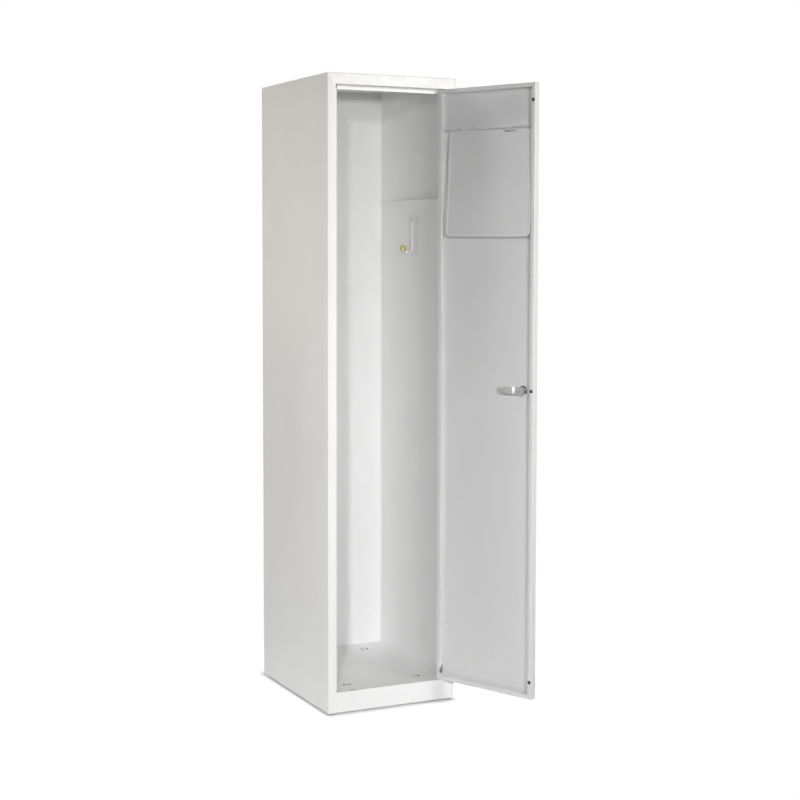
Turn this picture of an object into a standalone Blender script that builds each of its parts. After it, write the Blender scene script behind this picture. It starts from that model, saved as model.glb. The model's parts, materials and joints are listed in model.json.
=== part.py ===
import math

import bmesh
import bpy

# Laundry cabinet: a tall sheet-steel locker with a swing door, a drop flap inside the door,
# a cam lock, two hanging hooks and two shelf bearers. Metres, +Z up, the front faces -Y.

# Overall carcass
WIDTH = 0.400
DEPTH = 0.500
HEIGHT = 1.800
SHEET = 0.001
GAP = 0.0003
SEGMENTS = 24

# Runners under the base; the origin is the middle of the front runner's underside
RUNNER_THICK = 0.005
RUNNER_WIDTH = 0.028
RUNNER_INSET = 0.006
RUNNER_END = 0.030
FLANGE_SPARE = 0.002

# Front frame
STILE_WIDTH = 0.0255
TOP_RAIL = 0.031
PLINTH = 0.0582
SILL = 0.0004
STOP_WIDTH = 0.0125
STOP_HANG = 0.012

# Floor slits, and the keeper slot for the door
SLIT_LONG = 0.018
SLIT_WIDE = 0.0075
SLIT_PITCH = 0.0168
SLIT_X = 0.1105
SLIT_FRONT = 0.070
SLIT_BACK = 0.070
KEEPER_LONG = 0.015
KEEPER_WIDE = 0.011
KEEPER_EDGE = 0.0575
KEEPER_FRONT = 0.013
CORNER_CUT = 0.007

# Shelf bearers, placed from the top
BEARER_DROP = 0.3352
BEARER_TALL = 0.023
BEARER_SEAT = 0.015
BEARER_FRONT = 0.050
BEARER_BACK = 0.006

# Hooks, placed under the bearers
HOOK_BACK = 0.2675
HOOK_BELOW = 0.0223
HOOK_PLATE_TALL = 0.1235
HOOK_PLATE_WIDE = 0.058
HOOK_PLATE_THICK = 0.002
HOOK_PLATE_ROUND = 0.018
HOOK_PLATE_FOOT_ROUND = 0.006
HOOK_ROD = 0.0025
HOOK_STEM = 0.0798
HOOK_STEM_LOW = 0.0200
HOOK_BEND = 0.0130
HOOK_SWEEP = 52.0
HOOK_TIP = 0.0095
HOOK_BALL = 0.0096
HOOK_SEAT = 0.0067

# Door and its pivots; angles in degrees
DOOR_OPEN = 112.5
DOOR_LOW_GAP = 0.0018
DOOR_HIGH_GAP = 0.002
DOOR_THICK = 0.020
HINGE_INSET = 0.009
HINGE_DEPTH = 0.007
SWING_CLEAR = 0.0001
LIP_RETURN = 0.0028
LIP_LOCK = 0.011
LIP_TOP = 0.012
LIP_BOTTOM = 0.0125
PIVOT_PIN = 0.003
PIVOT_WALL = 0.0014
PIVOT_RIM = 0.0025
PIVOT_BLOCK = 0.046
PIVOT_DEPTH = 0.040
PIVOT_BLOCK_TOP = 0.020
PIVOT_DEPTH_TOP = 0.016
PIVOT_ROOT = 0.006
PIVOT_HEAD = 0.003
NOTCH_LOW = 0.019
NOTCH_TALL = 0.040
NOTCH_BITE = 0.0045
NOTCH_ROUND = 0.0015

# Drop flap, placed from the door's top edge and its lips
FLAP_DROP = 0.1150
FLAP_HINGE_MARGIN = 0.0132
FLAP_LOCK_MARGIN = 0.0026
FLAP_TALL = 0.3039
FLAP_TOP = 0.0045
FLAP_OFFSET = 0.0095
FLAP_CLEAR = 0.0012
FLAP_ROUND = 0.017
FLAP_TOP_ROUND = 0.0025
FLAP_HEM = 0.0075
FLAP_LEAN = 3.4
TAB_WIDE = 0.038
TAB_PITCH = 0.152
TAB_CLEAR = 0.001
TAB_STEP = 0.0015
RAIL_TALL = 0.022
RAIL_END = 0.001
FLAP_PIN = 0.0015

# Drop opening, which the flap overlaps on every side
DROP_LAP = 0.031
DROP_BELOW = 0.053
DROP_FOOT = 0.053
DROP_ROUND = 0.014

# Cam lock, placed from the door's free edge and its bottom
LOCK_INSET = 0.047
LOCK_UP = 0.8595
LOCK_BODY = 0.009
LOCK_BEHIND = 0.004
LOCK_ROSE = 0.013
LOCK_ROSE_THICK = 0.002
LOCK_ROSE_EDGE = 0.001
LOCK_PLUG = 0.005
LOCK_NUT = 0.0142
LOCK_NUT_THICK = 0.005
KEY_LONG = 0.007
KEY_WIDE = 0.0012
KEY_DEEP = 0.004
CAM_WIDE = 0.0206
CAM_LONG = 0.051
CAM_TIP_ROUND = 0.0077
CAM_THICK = 0.002
CAM_BEND = 0.0125
CAM_CRANK = 0.005
CAM_SCREW = 0.002
CAM_SCREW_DEEP = 0.006
CAM_SCREW_HEAD = 0.0045
CAM_SCREW_CROWN = 0.0026
CAM_SCREW_FLAT = 0.0027

# Buffers on the door's free lip; the middle one stands level with the lock
BUFFER_RADIUS = 0.005
BUFFER_REACH = 0.0032
BUFFER_ROUND = 0.0012
BUFFER_LOW = 0.0487
BUFFER_HIGH = 0.0471
BUFFER_RISE = 0.0007

# Places that follow from the sizes above
FRONT = -(RUNNER_INSET + RUNNER_WIDTH / 2)
BACK = FRONT + DEPTH
HALF = WIDTH / 2
WALL = HALF - SHEET
OPEN_HALF = HALF - STILE_WIDTH
OPEN_LOW = RUNNER_THICK + PLINTH
OPEN_HIGH = HEIGHT - TOP_RAIL
FLOOR_TOP = OPEN_LOW - SILL
FOOT_FLANGE = RUNNER_INSET + RUNNER_WIDTH + FLANGE_SPARE
RETURN_DEPTH = DOOR_THICK + BUFFER_REACH + GAP
BEARER_TOP = HEIGHT - BEARER_DROP
HOOK_PLATE_LOW = BEARER_TOP - BEARER_TALL - HOOK_BELOW - HOOK_PLATE_TALL
# The door's outer hinge corner needs this much room to turn past the stile
DOOR_SIDE_GAP = math.hypot(HINGE_INSET, HINGE_DEPTH) - HINGE_INSET + SWING_CLEAR
DOOR_WIDE = 2 * (OPEN_HALF - DOOR_SIDE_GAP)
DOOR_LOW = OPEN_LOW + DOOR_LOW_GAP
DOOR_HIGH = OPEN_HIGH - DOOR_HIGH_GAP
PIN_X = OPEN_HALF - DOOR_SIDE_GAP - HINGE_INSET
PIN_Y = FRONT + HINGE_DEPTH
PIVOT_COLLAR = PIVOT_PIN + PIVOT_RIM
LIP_HINGE = HINGE_INSET + PIVOT_PIN + GAP + PIVOT_WALL + GAP + SHEET
FLAP_WIDE = DOOR_WIDE - LIP_HINGE - LIP_LOCK - FLAP_HINGE_MARGIN - FLAP_LOCK_MARGIN
FLAP_MIDDLE = LIP_HINGE + FLAP_HINGE_MARGIN + FLAP_WIDE / 2
FLAP_AXIS_Z = DOOR_HIGH - FLAP_DROP
FLAP_AXIS_DEPTH = SHEET + FLAP_CLEAR + SHEET / 2 + FLAP_OFFSET
TAB_MIDDLES = (DOOR_WIDE / 2 - TAB_PITCH / 2, DOOR_WIDE / 2 + TAB_PITCH / 2)
CURL = FLAP_PIN + GAP + SHEET / 2
DROP_WIDE = FLAP_WIDE - 2 * DROP_LAP
DROP_HIGH = FLAP_AXIS_Z - DROP_BELOW
DROP_LOW = FLAP_AXIS_Z - FLAP_TALL + DROP_FOOT
LOCK_EDGE = DOOR_WIDE - LOCK_INSET
LOCK_Z = DOOR_LOW + LOCK_UP
LOCK_REACH = DOOR_THICK + LOCK_BEHIND
BUFFER_INSET = LIP_LOCK / 2
BUFFER_HEIGHTS = (DOOR_LOW + BUFFER_LOW, LOCK_Z + BUFFER_RISE, DOOR_HIGH - BUFFER_HIGH)

for old in list(bpy.data.objects):
    bpy.data.objects.remove(old, do_unlink=True)


def finish(name, colour, roughness, metallic):
    material = bpy.data.materials.new(name)
    material.use_nodes = True
    shader = material.node_tree.nodes["Principled BSDF"]
    shader.inputs["Base Color"].default_value = (*colour, 1.0)
    shader.inputs["Roughness"].default_value = roughness
    shader.inputs["Metallic"].default_value = metallic
    return material


def place(name, points, faces, material, parent=None):
    mesh = bpy.data.meshes.new(name)
    mesh.from_pydata(points, [], faces)
    shape = bmesh.new()
    shape.from_mesh(mesh)
    bmesh.ops.recalc_face_normals(shape, faces=shape.faces)
    shape.to_mesh(mesh)
    shape.free()
    mesh.shade_smooth()
    mesh.set_sharp_from_angle(angle=math.radians(40))
    item = bpy.data.objects.new(name, mesh)
    bpy.context.scene.collection.objects.link(item)
    if material is not None:
        mesh.materials.append(material)
    item.parent = parent
    return item


def axis_point(axis, a, b, along):
    if axis == "X":
        return (along, a, b)
    if axis == "Y":
        return (b, along, a)
    return (a, b, along)


def prism(name, outline, low, high, axis, material, parent=None):
    # An outline in (Y, Z), (Z, X) or (X, Y), drawn out along X, Y or Z
    count = len(outline)
    points = [axis_point(axis, a, b, low) for a, b in outline]
    points += [axis_point(axis, a, b, high) for a, b in outline]
    faces = [tuple(range(count))[::-1], tuple(range(count, 2 * count))]
    for i in range(count):
        j = (i + 1) % count
        faces.append((i, j, count + j, count + i))
    return place(name, points, faces, material, parent)


def slab(name, lows, highs, material, parent=None):
    outline = [(lows[0], lows[1]), (highs[0], lows[1]), (highs[0], highs[1]), (lows[0], highs[1])]
    return prism(name, outline, lows[2], highs[2], "Z", material, parent)


def turned(name, profile, centre, axis, material, parent=None, steps=SEGMENTS):
    # A closed (radius, along) profile turned about an axis; a point of radius 0 is a pole
    points = []
    rings = []
    for radius, along in profile:
        ring = []
        for k in range(1 if radius == 0 else steps):
            angle = 2 * math.pi * k / steps
            a = radius * math.cos(angle)
            b = radius * math.sin(angle)
            x, y, z = axis_point(axis, a, b, along)
            ring.append(len(points))
            points.append((centre[0] + x, centre[1] + y, centre[2] + z))
        rings.append(ring)
    faces = []
    for first, second in zip(rings, rings[1:] + rings[:1]):
        if len(first) == 1 and len(second) == 1:
            continue
        for k in range(steps):
            j = (k + 1) % steps
            corners = [first[k % len(first)], first[j % len(first)]]
            corners += [second[j % len(second)], second[k % len(second)]]
            faces.append(tuple(dict.fromkeys(corners)))
    return place(name, points, faces, material, parent)


def combine(target, other, operation):
    modifier = target.modifiers.new(other.name, "BOOLEAN")
    modifier.operation = operation
    modifier.solver = "EXACT"
    modifier.object = other
    other.hide_render = True
    other.display_type = "WIRE"


def cut(target, cutter):
    combine(target, cutter, "DIFFERENCE")


def arc(centre, radius, start, end, steps=6):
    angles = [math.radians(start + (end - start) * k / steps) for k in range(steps + 1)]
    return [(centre[0] + radius * math.cos(t), centre[1] + radius * math.sin(t)) for t in angles]


def rounded(a0, b0, a1, b1, low_round, high_round):
    # A rectangle's outline, with one radius at its two b0 corners and another at its two b1 corners
    outline = arc((a0 + low_round, b0 + low_round), low_round, 180, 270)
    outline += arc((a1 - low_round, b0 + low_round), low_round, 270, 360)
    outline += arc((a1 - high_round, b1 - high_round), high_round, 0, 90)
    outline += arc((a0 + high_round, b1 - high_round), high_round, 90, 180)
    return outline


def ribbon(path, thick):
    # The outline of a bent strip, from its middle line
    sides = ([], [])
    for k, (a, b) in enumerate(path):
        before = path[max(k - 1, 0)]
        after = path[min(k + 1, len(path) - 1)]
        first = math.atan2(b - before[1], a - before[0])
        second = math.atan2(after[1] - b, after[0] - a)
        if k == 0:
            first = second
        if k == len(path) - 1:
            second = first
        half_turn = (second - first + math.pi) % (2 * math.pi) - math.pi
        middle = first + half_turn / 2 + math.pi / 2
        reach = thick / 2 / math.cos(half_turn / 2)
        sides[0].append((a + reach * math.cos(middle), b + reach * math.sin(middle)))
        sides[1].append((a - reach * math.cos(middle), b - reach * math.sin(middle)))
    return sides[1] + sides[0][::-1]


def pivot(name, location, rotation, parent=None):
    empty = bpy.data.objects.new(name, None)
    empty.location = location
    empty.rotation_euler = rotation
    empty.parent = parent
    bpy.context.scene.collection.objects.link(empty)
    return empty


white = finish("white_powder_coat", (0.86, 0.86, 0.85), 0.45, 0.0)
zinc = finish("zinc_plate", (0.62, 0.63, 0.60), 0.35, 1.0)
chrome = finish("chrome", (0.75, 0.75, 0.76), 0.12, 1.0)
brass = finish("brass", (0.78, 0.58, 0.20), 0.15, 1.0)
rubber = finish("black_rubber", (0.02, 0.02, 0.02), 0.7, 0.0)
plastic = finish("white_plastic", (0.88, 0.88, 0.86), 0.4, 0.0)
steel = finish("steel", (0.60, 0.60, 0.60), 0.3, 1.0)


def build_shell():
    top = HEIGHT - SHEET - GAP
    back = BACK - SHEET - GAP
    for name, side in (("left_side_panel", -1), ("right_side_panel", 1)):
        ends = sorted((side * HALF, side * WALL))
        lows = (ends[0], FRONT + SHEET + GAP, RUNNER_THICK)
        slab(name, lows, (ends[1], back, top), white)
    slab("back_panel", (-HALF, BACK - SHEET, RUNNER_THICK), (HALF, BACK, top), white)
    slab("top_panel", (-HALF, FRONT + SHEET + GAP, HEIGHT - SHEET), (HALF, BACK, HEIGHT), white)


def build_floor():
    reach = WALL - GAP
    floor = slab(
        "floor_panel",
        (-reach, FRONT + SHEET + GAP, FLOOR_TOP - SHEET),
        (reach, BACK - SHEET - GAP, FLOOR_TOP),
        white,
    )
    low = FLOOR_TOP - 5 * SHEET
    high = FLOOR_TOP + 5 * SHEET
    for side in (-1, 1):
        for row, middle in enumerate((FRONT + SLIT_FRONT, BACK - SLIT_BACK)):
            for step in (-0.5, 0.5):
                x = side * SLIT_X + step * SLIT_PITCH
                lows = (x - SLIT_WIDE / 2, middle - SLIT_LONG / 2, low)
                highs = (x + SLIT_WIDE / 2, middle + SLIT_LONG / 2, high)
                cut(floor, slab(f"slit_cut_{side}_{row}_{step}", lows, highs, None))
    x = -OPEN_HALF + KEEPER_EDGE
    y = FRONT + KEEPER_FRONT
    lows = (x - KEEPER_LONG / 2, y - KEEPER_WIDE / 2, low)
    highs = (x + KEEPER_LONG / 2, y + KEEPER_WIDE / 2, high)
    cut(floor, slab("keeper_cut", lows, highs, None))
    for side in (-1, 1):
        ends = sorted((side * (reach - CORNER_CUT), side * (reach + CORNER_CUT)))
        lows = (ends[0], BACK - SHEET - GAP - CORNER_CUT, low)
        cut(floor, slab(f"corner_cut_{side}", lows, (ends[1], BACK, high), None))
    bore = [(0, low), (PIVOT_PIN + GAP, low), (PIVOT_PIN + GAP, high), (0, high)]
    cut(floor, turned("floor_pivot_cut", bore, (PIN_X, PIN_Y, 0), "Z", None))


def build_base():
    reach = WALL - GAP
    inner = OPEN_HALF - GAP
    front = [
        (FRONT, RUNNER_THICK),
        (FRONT + FOOT_FLANGE, RUNNER_THICK),
        (FRONT + FOOT_FLANGE, RUNNER_THICK + SHEET),
        (FRONT + SHEET, RUNNER_THICK + SHEET),
        (FRONT + SHEET, OPEN_LOW),
        (FRONT, OPEN_LOW),
    ]
    prism("plinth_rail", front, -inner, inner, "X", white)
    back = BACK - SHEET - GAP
    rear_top = FLOOR_TOP - SHEET - GAP
    rear = [
        (back - FOOT_FLANGE, RUNNER_THICK),
        (back, RUNNER_THICK),
        (back, rear_top),
        (back - SHEET, rear_top),
        (back - SHEET, RUNNER_THICK + SHEET),
        (back - FOOT_FLANGE, RUNNER_THICK + SHEET),
    ]
    prism("rear_plinth", rear, -reach, reach, "X", white)
    high = RUNNER_THICK - GAP
    for name, start in (
        ("front_runner", FRONT + RUNNER_INSET),
        ("rear_runner", BACK - RUNNER_INSET - RUNNER_WIDTH),
    ):
        slab(
            name,
            (-HALF + RUNNER_END, start, 0.0),
            (HALF - RUNNER_END, start + RUNNER_WIDTH, high),
            plastic,
        )


def build_front_frame():
    stop = FRONT + RETURN_DEPTH
    strike = [
        (-HALF, FRONT),
        (-OPEN_HALF, FRONT),
        (-OPEN_HALF, stop - GAP),
        (-OPEN_HALF - SHEET, stop - GAP),
        (-OPEN_HALF - SHEET, FRONT + SHEET),
        (-HALF, FRONT + SHEET),
    ]
    hinge = [
        (HALF, FRONT),
        (HALF, FRONT + SHEET),
        (OPEN_HALF + SHEET, FRONT + SHEET),
        (OPEN_HALF + SHEET, stop),
        (OPEN_HALF + STOP_WIDTH, stop),
        (OPEN_HALF + STOP_WIDTH, stop + SHEET),
        (OPEN_HALF, stop + SHEET),
        (OPEN_HALF, FRONT),
    ]
    for name, outline, side in (("left_stile", strike, -1), ("right_stile", hinge, 1)):
        stile = prism(name, outline, RUNNER_THICK, HEIGHT, "Z", white)
        # The return and its flange stop above the floor and below the top
        for end, low, high in (
            ("low", 0.0, FLOOR_TOP + GAP),
            ("high", HEIGHT - SHEET - GAP, HEIGHT + SHEET),
        ):
            lows = (-WIDTH, FRONT + SHEET + GAP / 2, low)
            cut(stile, slab(f"{name}_{end}_cut", lows, (WIDTH, 0.5 * DEPTH, high), None))
    inner = OPEN_HALF - GAP
    rail = [
        (FRONT, OPEN_HIGH),
        (stop - GAP, OPEN_HIGH),
        (stop - GAP, OPEN_HIGH + SHEET),
        (FRONT + SHEET, OPEN_HIGH + SHEET),
        (FRONT + SHEET, HEIGHT),
        (FRONT, HEIGHT),
    ]
    top = prism("top_rail", rail, -inner, inner, "X", white)
    low = OPEN_HIGH - SHEET
    high = OPEN_HIGH + 2 * SHEET
    bore = [(0, low), (PIVOT_PIN + GAP, low), (PIVOT_PIN + GAP, high), (0, high)]
    cut(top, turned("rail_pivot_cut", bore, (PIN_X, PIN_Y, 0), "Z", None))
    # The strips that the door's free edge and top edge close against
    side_end = -OPEN_HALF + STOP_WIDTH
    high = HEIGHT - SHEET - GAP
    lows = (-OPEN_HALF - SHEET, stop, FLOOR_TOP + GAP)
    slab("left_stop", lows, (side_end, stop + SHEET, high), white)
    lows = (side_end + GAP, stop, OPEN_HIGH - STOP_HANG)
    slab("top_stop", lows, (inner, stop + SHEET, high), white)


def build_bearers():
    wall = WALL - GAP
    low = BEARER_TOP - BEARER_TALL
    angle = [
        (wall, low),
        (wall, BEARER_TOP),
        (wall - BEARER_SEAT, BEARER_TOP),
        (wall - BEARER_SEAT, BEARER_TOP - SHEET),
        (wall - SHEET, BEARER_TOP - SHEET),
        (wall - SHEET, low),
    ]
    start = FRONT + BEARER_FRONT
    end = BACK - SHEET - BEARER_BACK
    for name, side in (("bearer_left", -1), ("bearer_right", 1)):
        outline = [(z, side * x) for x, z in angle]
        prism(name, outline, start, end, "Y", white)


def hook_path():
    # (distance from the plate's face, height over the plate's foot) of the rod's middle line
    stem = HOOK_ROD + GAP
    centre = (stem + HOOK_BEND, HOOK_STEM_LOW)
    path = [(stem, HOOK_STEM_LOW + HOOK_STEM)]
    path += arc(centre, HOOK_BEND, 180, 270 + HOOK_SWEEP, 9)
    heading = math.radians(HOOK_SWEEP)
    end = path[-1]
    way = (math.cos(heading), math.sin(heading))
    tip = (end[0] + HOOK_TIP * way[0], end[1] + HOOK_TIP * way[1])
    return path + [tip], way


def tube(name, path, radius, to_world, material, steps=12):
    points = []
    for k, (a, b) in enumerate(path):
        before = path[max(k - 1, 0)]
        after = path[min(k + 1, len(path) - 1)]
        heading = math.atan2(after[1] - before[1], after[0] - before[0])
        for j in range(steps):
            turn = 2 * math.pi * j / steps
            off = radius * math.cos(turn)
            spot = (a - off * math.sin(heading), b + off * math.cos(heading))
            points.append(to_world(spot[0], spot[1], radius * math.sin(turn)))
    rows = len(path)
    faces = [tuple(range(steps)), tuple(range((rows - 1) * steps, rows * steps))]
    for k in range(rows - 1):
        for j in range(steps):
            n = (j + 1) % steps
            faces.append((k * steps + j, k * steps + n, (k + 1) * steps + n, (k + 1) * steps + j))
    return place(name, points, faces, material)


def build_hooks():
    y = FRONT + HOOK_BACK
    half = HOOK_PLATE_WIDE / 2
    face = WALL - GAP - HOOK_PLATE_THICK
    path, way = hook_path()
    tip = path[-1]
    lead = HOOK_BALL - HOOK_SEAT
    middle = (tip[0] + lead * way[0], tip[1] + lead * way[1])
    high = HOOK_PLATE_LOW + HOOK_PLATE_TALL
    for side_name, side in (("left", -1), ("right", 1)):
        ends = sorted((side * face, side * (face + HOOK_PLATE_THICK)))
        corners = (HOOK_PLATE_FOOT_ROUND, HOOK_PLATE_ROUND)
        outline = rounded(y - half, HOOK_PLATE_LOW, y + half, high, *corners)
        prism(f"hook_plate_{side_name}", outline, ends[0], ends[1], "X", zinc)

        def to_world(out, up, along, s=side):
            return (s * (face - out), y + along, HOOK_PLATE_LOW + up)

        tube(f"hook_rod_{side_name}", path, HOOK_ROD, to_world, chrome)
        profile = [(0, -HOOK_BALL)] + arc((0, 0), HOOK_BALL, -75, 75, 10) + [(0, HOOK_BALL)]
        centre = to_world(middle[0], middle[1], 0.0)
        ball = turned(f"hook_ball_{side_name}", profile, centre, "Z", brass)
        reach = HOOK_SEAT + HOOK_BALL
        start = (tip[0] - reach * way[0], tip[1] - reach * way[1])
        end = (tip[0] + GAP * way[0], tip[1] + GAP * way[1])
        cut(ball, tube(f"ball_cut_{side_name}", [start, end], HOOK_ROD + GAP, to_world, None))


def build_pivot_pins():
    low = FLOOR_TOP - PIVOT_ROOT
    high = DOOR_LOW + PIVOT_DEPTH
    collar = FLOOR_TOP + GAP
    lower = [(0, low), (PIVOT_PIN, low), (PIVOT_PIN, collar), (PIVOT_COLLAR, collar)]
    lower += [(PIVOT_COLLAR, collar + SHEET), (PIVOT_PIN, collar + SHEET), (PIVOT_PIN, high), (0, high)]
    turned("lower_pivot_pin", lower, (PIN_X, PIN_Y, 0), "Z", steel)
    low = DOOR_HIGH - PIVOT_DEPTH_TOP
    head = OPEN_HIGH + SHEET + GAP
    high = head + PIVOT_HEAD
    upper = [(0, low), (PIVOT_PIN, low), (PIVOT_PIN, head), (PIVOT_COLLAR, head)]
    upper += [(PIVOT_COLLAR, high), (0, high)]
    turned("upper_pivot_pin", upper, (PIN_X, PIN_Y, 0), "Z", steel)


def across(edge):
    # Distance from the door's hinge edge, as X in the door's own frame
    return HINGE_INSET - edge


def inward(depth):
    # Distance behind the door's outer face, as Y in the door's own frame
    return depth - HINGE_DEPTH


def door_slab(name, edge, depth, height, material, parent):
    lows = (across(edge[1]), inward(depth[0]), height[0])
    return slab(name, lows, (across(edge[0]), inward(depth[1]), height[1]), material, parent)


def build_door_skin(door):
    skin = door_slab("door_skin", (0, DOOR_WIDE), (0, SHEET), (DOOR_LOW, DOOR_HIGH), white, door)
    middle = across(FLAP_MIDDLE)
    half = DROP_WIDE / 2
    outline = rounded(DROP_LOW, middle - half, DROP_HIGH, middle + half, DROP_ROUND, DROP_ROUND)
    start = inward(-2 * SHEET)
    end = inward(3 * SHEET)
    cut(skin, prism("drop_cut", outline, start, end, "Y", None, door))
    radius = LOCK_BODY + GAP
    hole = [(0, start), (radius, start), (radius, end), (0, end)]
    cut(skin, turned("lock_cut", hole, (across(LOCK_EDGE), 0, LOCK_Z), "Y", None, door))


def build_door_channels(door):
    near = inward(SHEET + GAP)
    lip = inward(DOOR_THICK - SHEET)
    far = inward(DOOR_THICK)
    span = (DOOR_LOW + LIP_BOTTOM + GAP, DOOR_HIGH - LIP_TOP - GAP)
    hinge = [
        (across(0), near),
        (across(0), far),
        (across(LIP_HINGE), far),
        (across(LIP_HINGE), far - LIP_RETURN),
        (across(LIP_HINGE - SHEET), far - LIP_RETURN),
        (across(LIP_HINGE - SHEET), lip),
        (across(SHEET), lip),
        (across(SHEET), near),
    ]
    channel = prism("door_hinge_channel", hinge, *span, "Z", white, door)
    low = DOOR_LOW + NOTCH_LOW
    notch = rounded(
        low,
        across(LIP_HINGE + NOTCH_BITE),
        low + NOTCH_TALL,
        across(LIP_HINGE - NOTCH_BITE),
        NOTCH_ROUND,
        NOTCH_ROUND,
    )
    start = far - LIP_RETURN - 2 * SHEET
    cut(channel, prism("notch_cut", notch, start, far + 2 * SHEET, "Y", None, door))
    lock = [
        (across(DOOR_WIDE), near),
        (across(DOOR_WIDE - SHEET), near),
        (across(DOOR_WIDE - SHEET), lip),
        (across(DOOR_WIDE - LIP_LOCK), lip),
        (across(DOOR_WIDE - LIP_LOCK), far),
        (across(DOOR_WIDE), far),
    ]
    prism("door_lock_channel", lock, *span, "Z", white, door)
    bore = [(0, DOOR_LOW - SHEET), (PIVOT_PIN + 2 * GAP, DOOR_LOW - SHEET)]
    bore += [(PIVOT_PIN + 2 * GAP, DOOR_HIGH + SHEET), (0, DOOR_HIGH + SHEET)]
    for name, edge, web, end in (
        ("door_bottom_channel", DOOR_LOW, DOOR_LOW + SHEET, DOOR_LOW + LIP_BOTTOM),
        ("door_top_channel", DOOR_HIGH, DOOR_HIGH - SHEET, DOOR_HIGH - LIP_TOP),
    ):
        outline = [(near, edge), (far, edge), (far, end), (lip, end), (lip, web), (near, web)]
        ends = (across(DOOR_WIDE), across(0))
        rail = prism(name, outline, ends[0], ends[1], "X", white, door)
        cut(rail, turned(f"{name}_cut", bore, (0, 0, 0), "Z", None, door))


def build_pivot_blocks(door):
    edge = (SHEET + GAP, LIP_HINGE - SHEET - GAP)
    depth = (SHEET + GAP, DOOR_THICK - SHEET - GAP)
    low = DOOR_LOW + SHEET + GAP
    high = DOOR_HIGH - SHEET - GAP
    bore = [(0, low - SHEET), (PIVOT_PIN + GAP, low - SHEET)]
    bore += [(PIVOT_PIN + GAP, high + SHEET), (0, high + SHEET)]
    for name, ends in (
        ("pivot_block_low", (low, DOOR_LOW + PIVOT_BLOCK)),
        ("pivot_block_top", (DOOR_HIGH - PIVOT_BLOCK_TOP, high)),
    ):
        block = door_slab(name, edge, depth, ends, plastic, door)
        cut(block, turned(f"{name}_cut", bore, (0, 0, 0), "Z", None, door))


def build_buffers(door):
    base = inward(DOOR_THICK) + GAP
    reach = base - GAP + BUFFER_REACH
    profile = [(0, base), (BUFFER_RADIUS, base)]
    profile += arc((BUFFER_RADIUS - BUFFER_ROUND, reach - BUFFER_ROUND), BUFFER_ROUND, 0, 90, 3)
    profile += [(0, reach)]
    for name, height in zip(("buffer_low", "buffer_middle", "buffer_high"), BUFFER_HEIGHTS):
        centre = (across(DOOR_WIDE - BUFFER_INSET), 0, height)
        turned(name, profile, centre, "Y", rubber, door)


def build_flap_hinge(door):
    # The rail: a leaf on the skin, a ledge and a bead curled round the pin
    axis = inward(FLAP_AXIS_DEPTH)
    leaf = inward(SHEET + GAP + SHEET / 2)
    path = [(leaf, FLAP_AXIS_Z + RAIL_TALL), (leaf, FLAP_AXIS_Z + CURL)]
    path += arc((axis, FLAP_AXIS_Z), CURL, 90, -140, 12)
    ends = (across(DOOR_WIDE - LIP_LOCK - RAIL_END), across(LIP_HINGE + RAIL_END))
    rail = prism("flap_hinge_rail", ribbon(path, SHEET), ends[0], ends[1], "X", white, door)
    half = TAB_WIDE / 2 + TAB_CLEAR
    for k, middle in enumerate(TAB_MIDDLES):
        lows = (across(middle) - half, axis - CURL - SHEET / 2 - TAB_CLEAR, FLAP_AXIS_Z - 3 * CURL)
        highs = (across(middle) + half, axis + 3 * CURL, FLAP_AXIS_Z + 3 * CURL)
        cut(rail, slab(f"tab_cut_{k}", lows, highs, None, door))
    pin = [(0, ends[0]), (FLAP_PIN, ends[0]), (FLAP_PIN, ends[1]), (0, ends[1])]
    turned("flap_hinge_pin", pin, (0, axis, FLAP_AXIS_Z), "X", steel, door, 12)


def build_flap(flap):
    # A hemmed sheet in the flap's own frame, whose X axis is the hinge line
    low = -FLAP_TALL
    top = -FLAP_TOP
    half = FLAP_WIDE / 2
    back = -FLAP_OFFSET - SHEET / 2
    outline = rounded(-half, low, half, top, FLAP_ROUND, FLAP_TOP_ROUND)
    turned_outline = [(z, x) for x, z in outline][::-1]
    sheet = prism("drop_flap", turned_outline, back, back + 2 * SHEET, "Y", white, flap)
    edge = half - FLAP_HEM
    inner_round = FLAP_ROUND - FLAP_HEM
    inner = rounded(-edge, low + FLAP_HEM, edge, 0.0, inner_round, FLAP_TOP_ROUND)
    pocket = [(z, x) for x, z in inner][::-1]
    cut(sheet, prism("hem_cut", pocket, back + SHEET, back + 4 * SHEET, "Y", None, flap))
    step = -CURL - TAB_STEP
    path = [(-FLAP_OFFSET, top - 4 * SHEET), (-FLAP_OFFSET, step), (-CURL, step)]
    path += arc((0, 0), CURL, 180, -50, 12)
    for k, middle in enumerate(TAB_MIDDLES):
        x = FLAP_MIDDLE - middle
        ends = (x - TAB_WIDE / 2, x + TAB_WIDE / 2)
        tab = prism(f"tab_join_{k}", ribbon(path, SHEET), ends[0], ends[1], "X", None, flap)
        combine(sheet, tab, "UNION")


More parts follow.
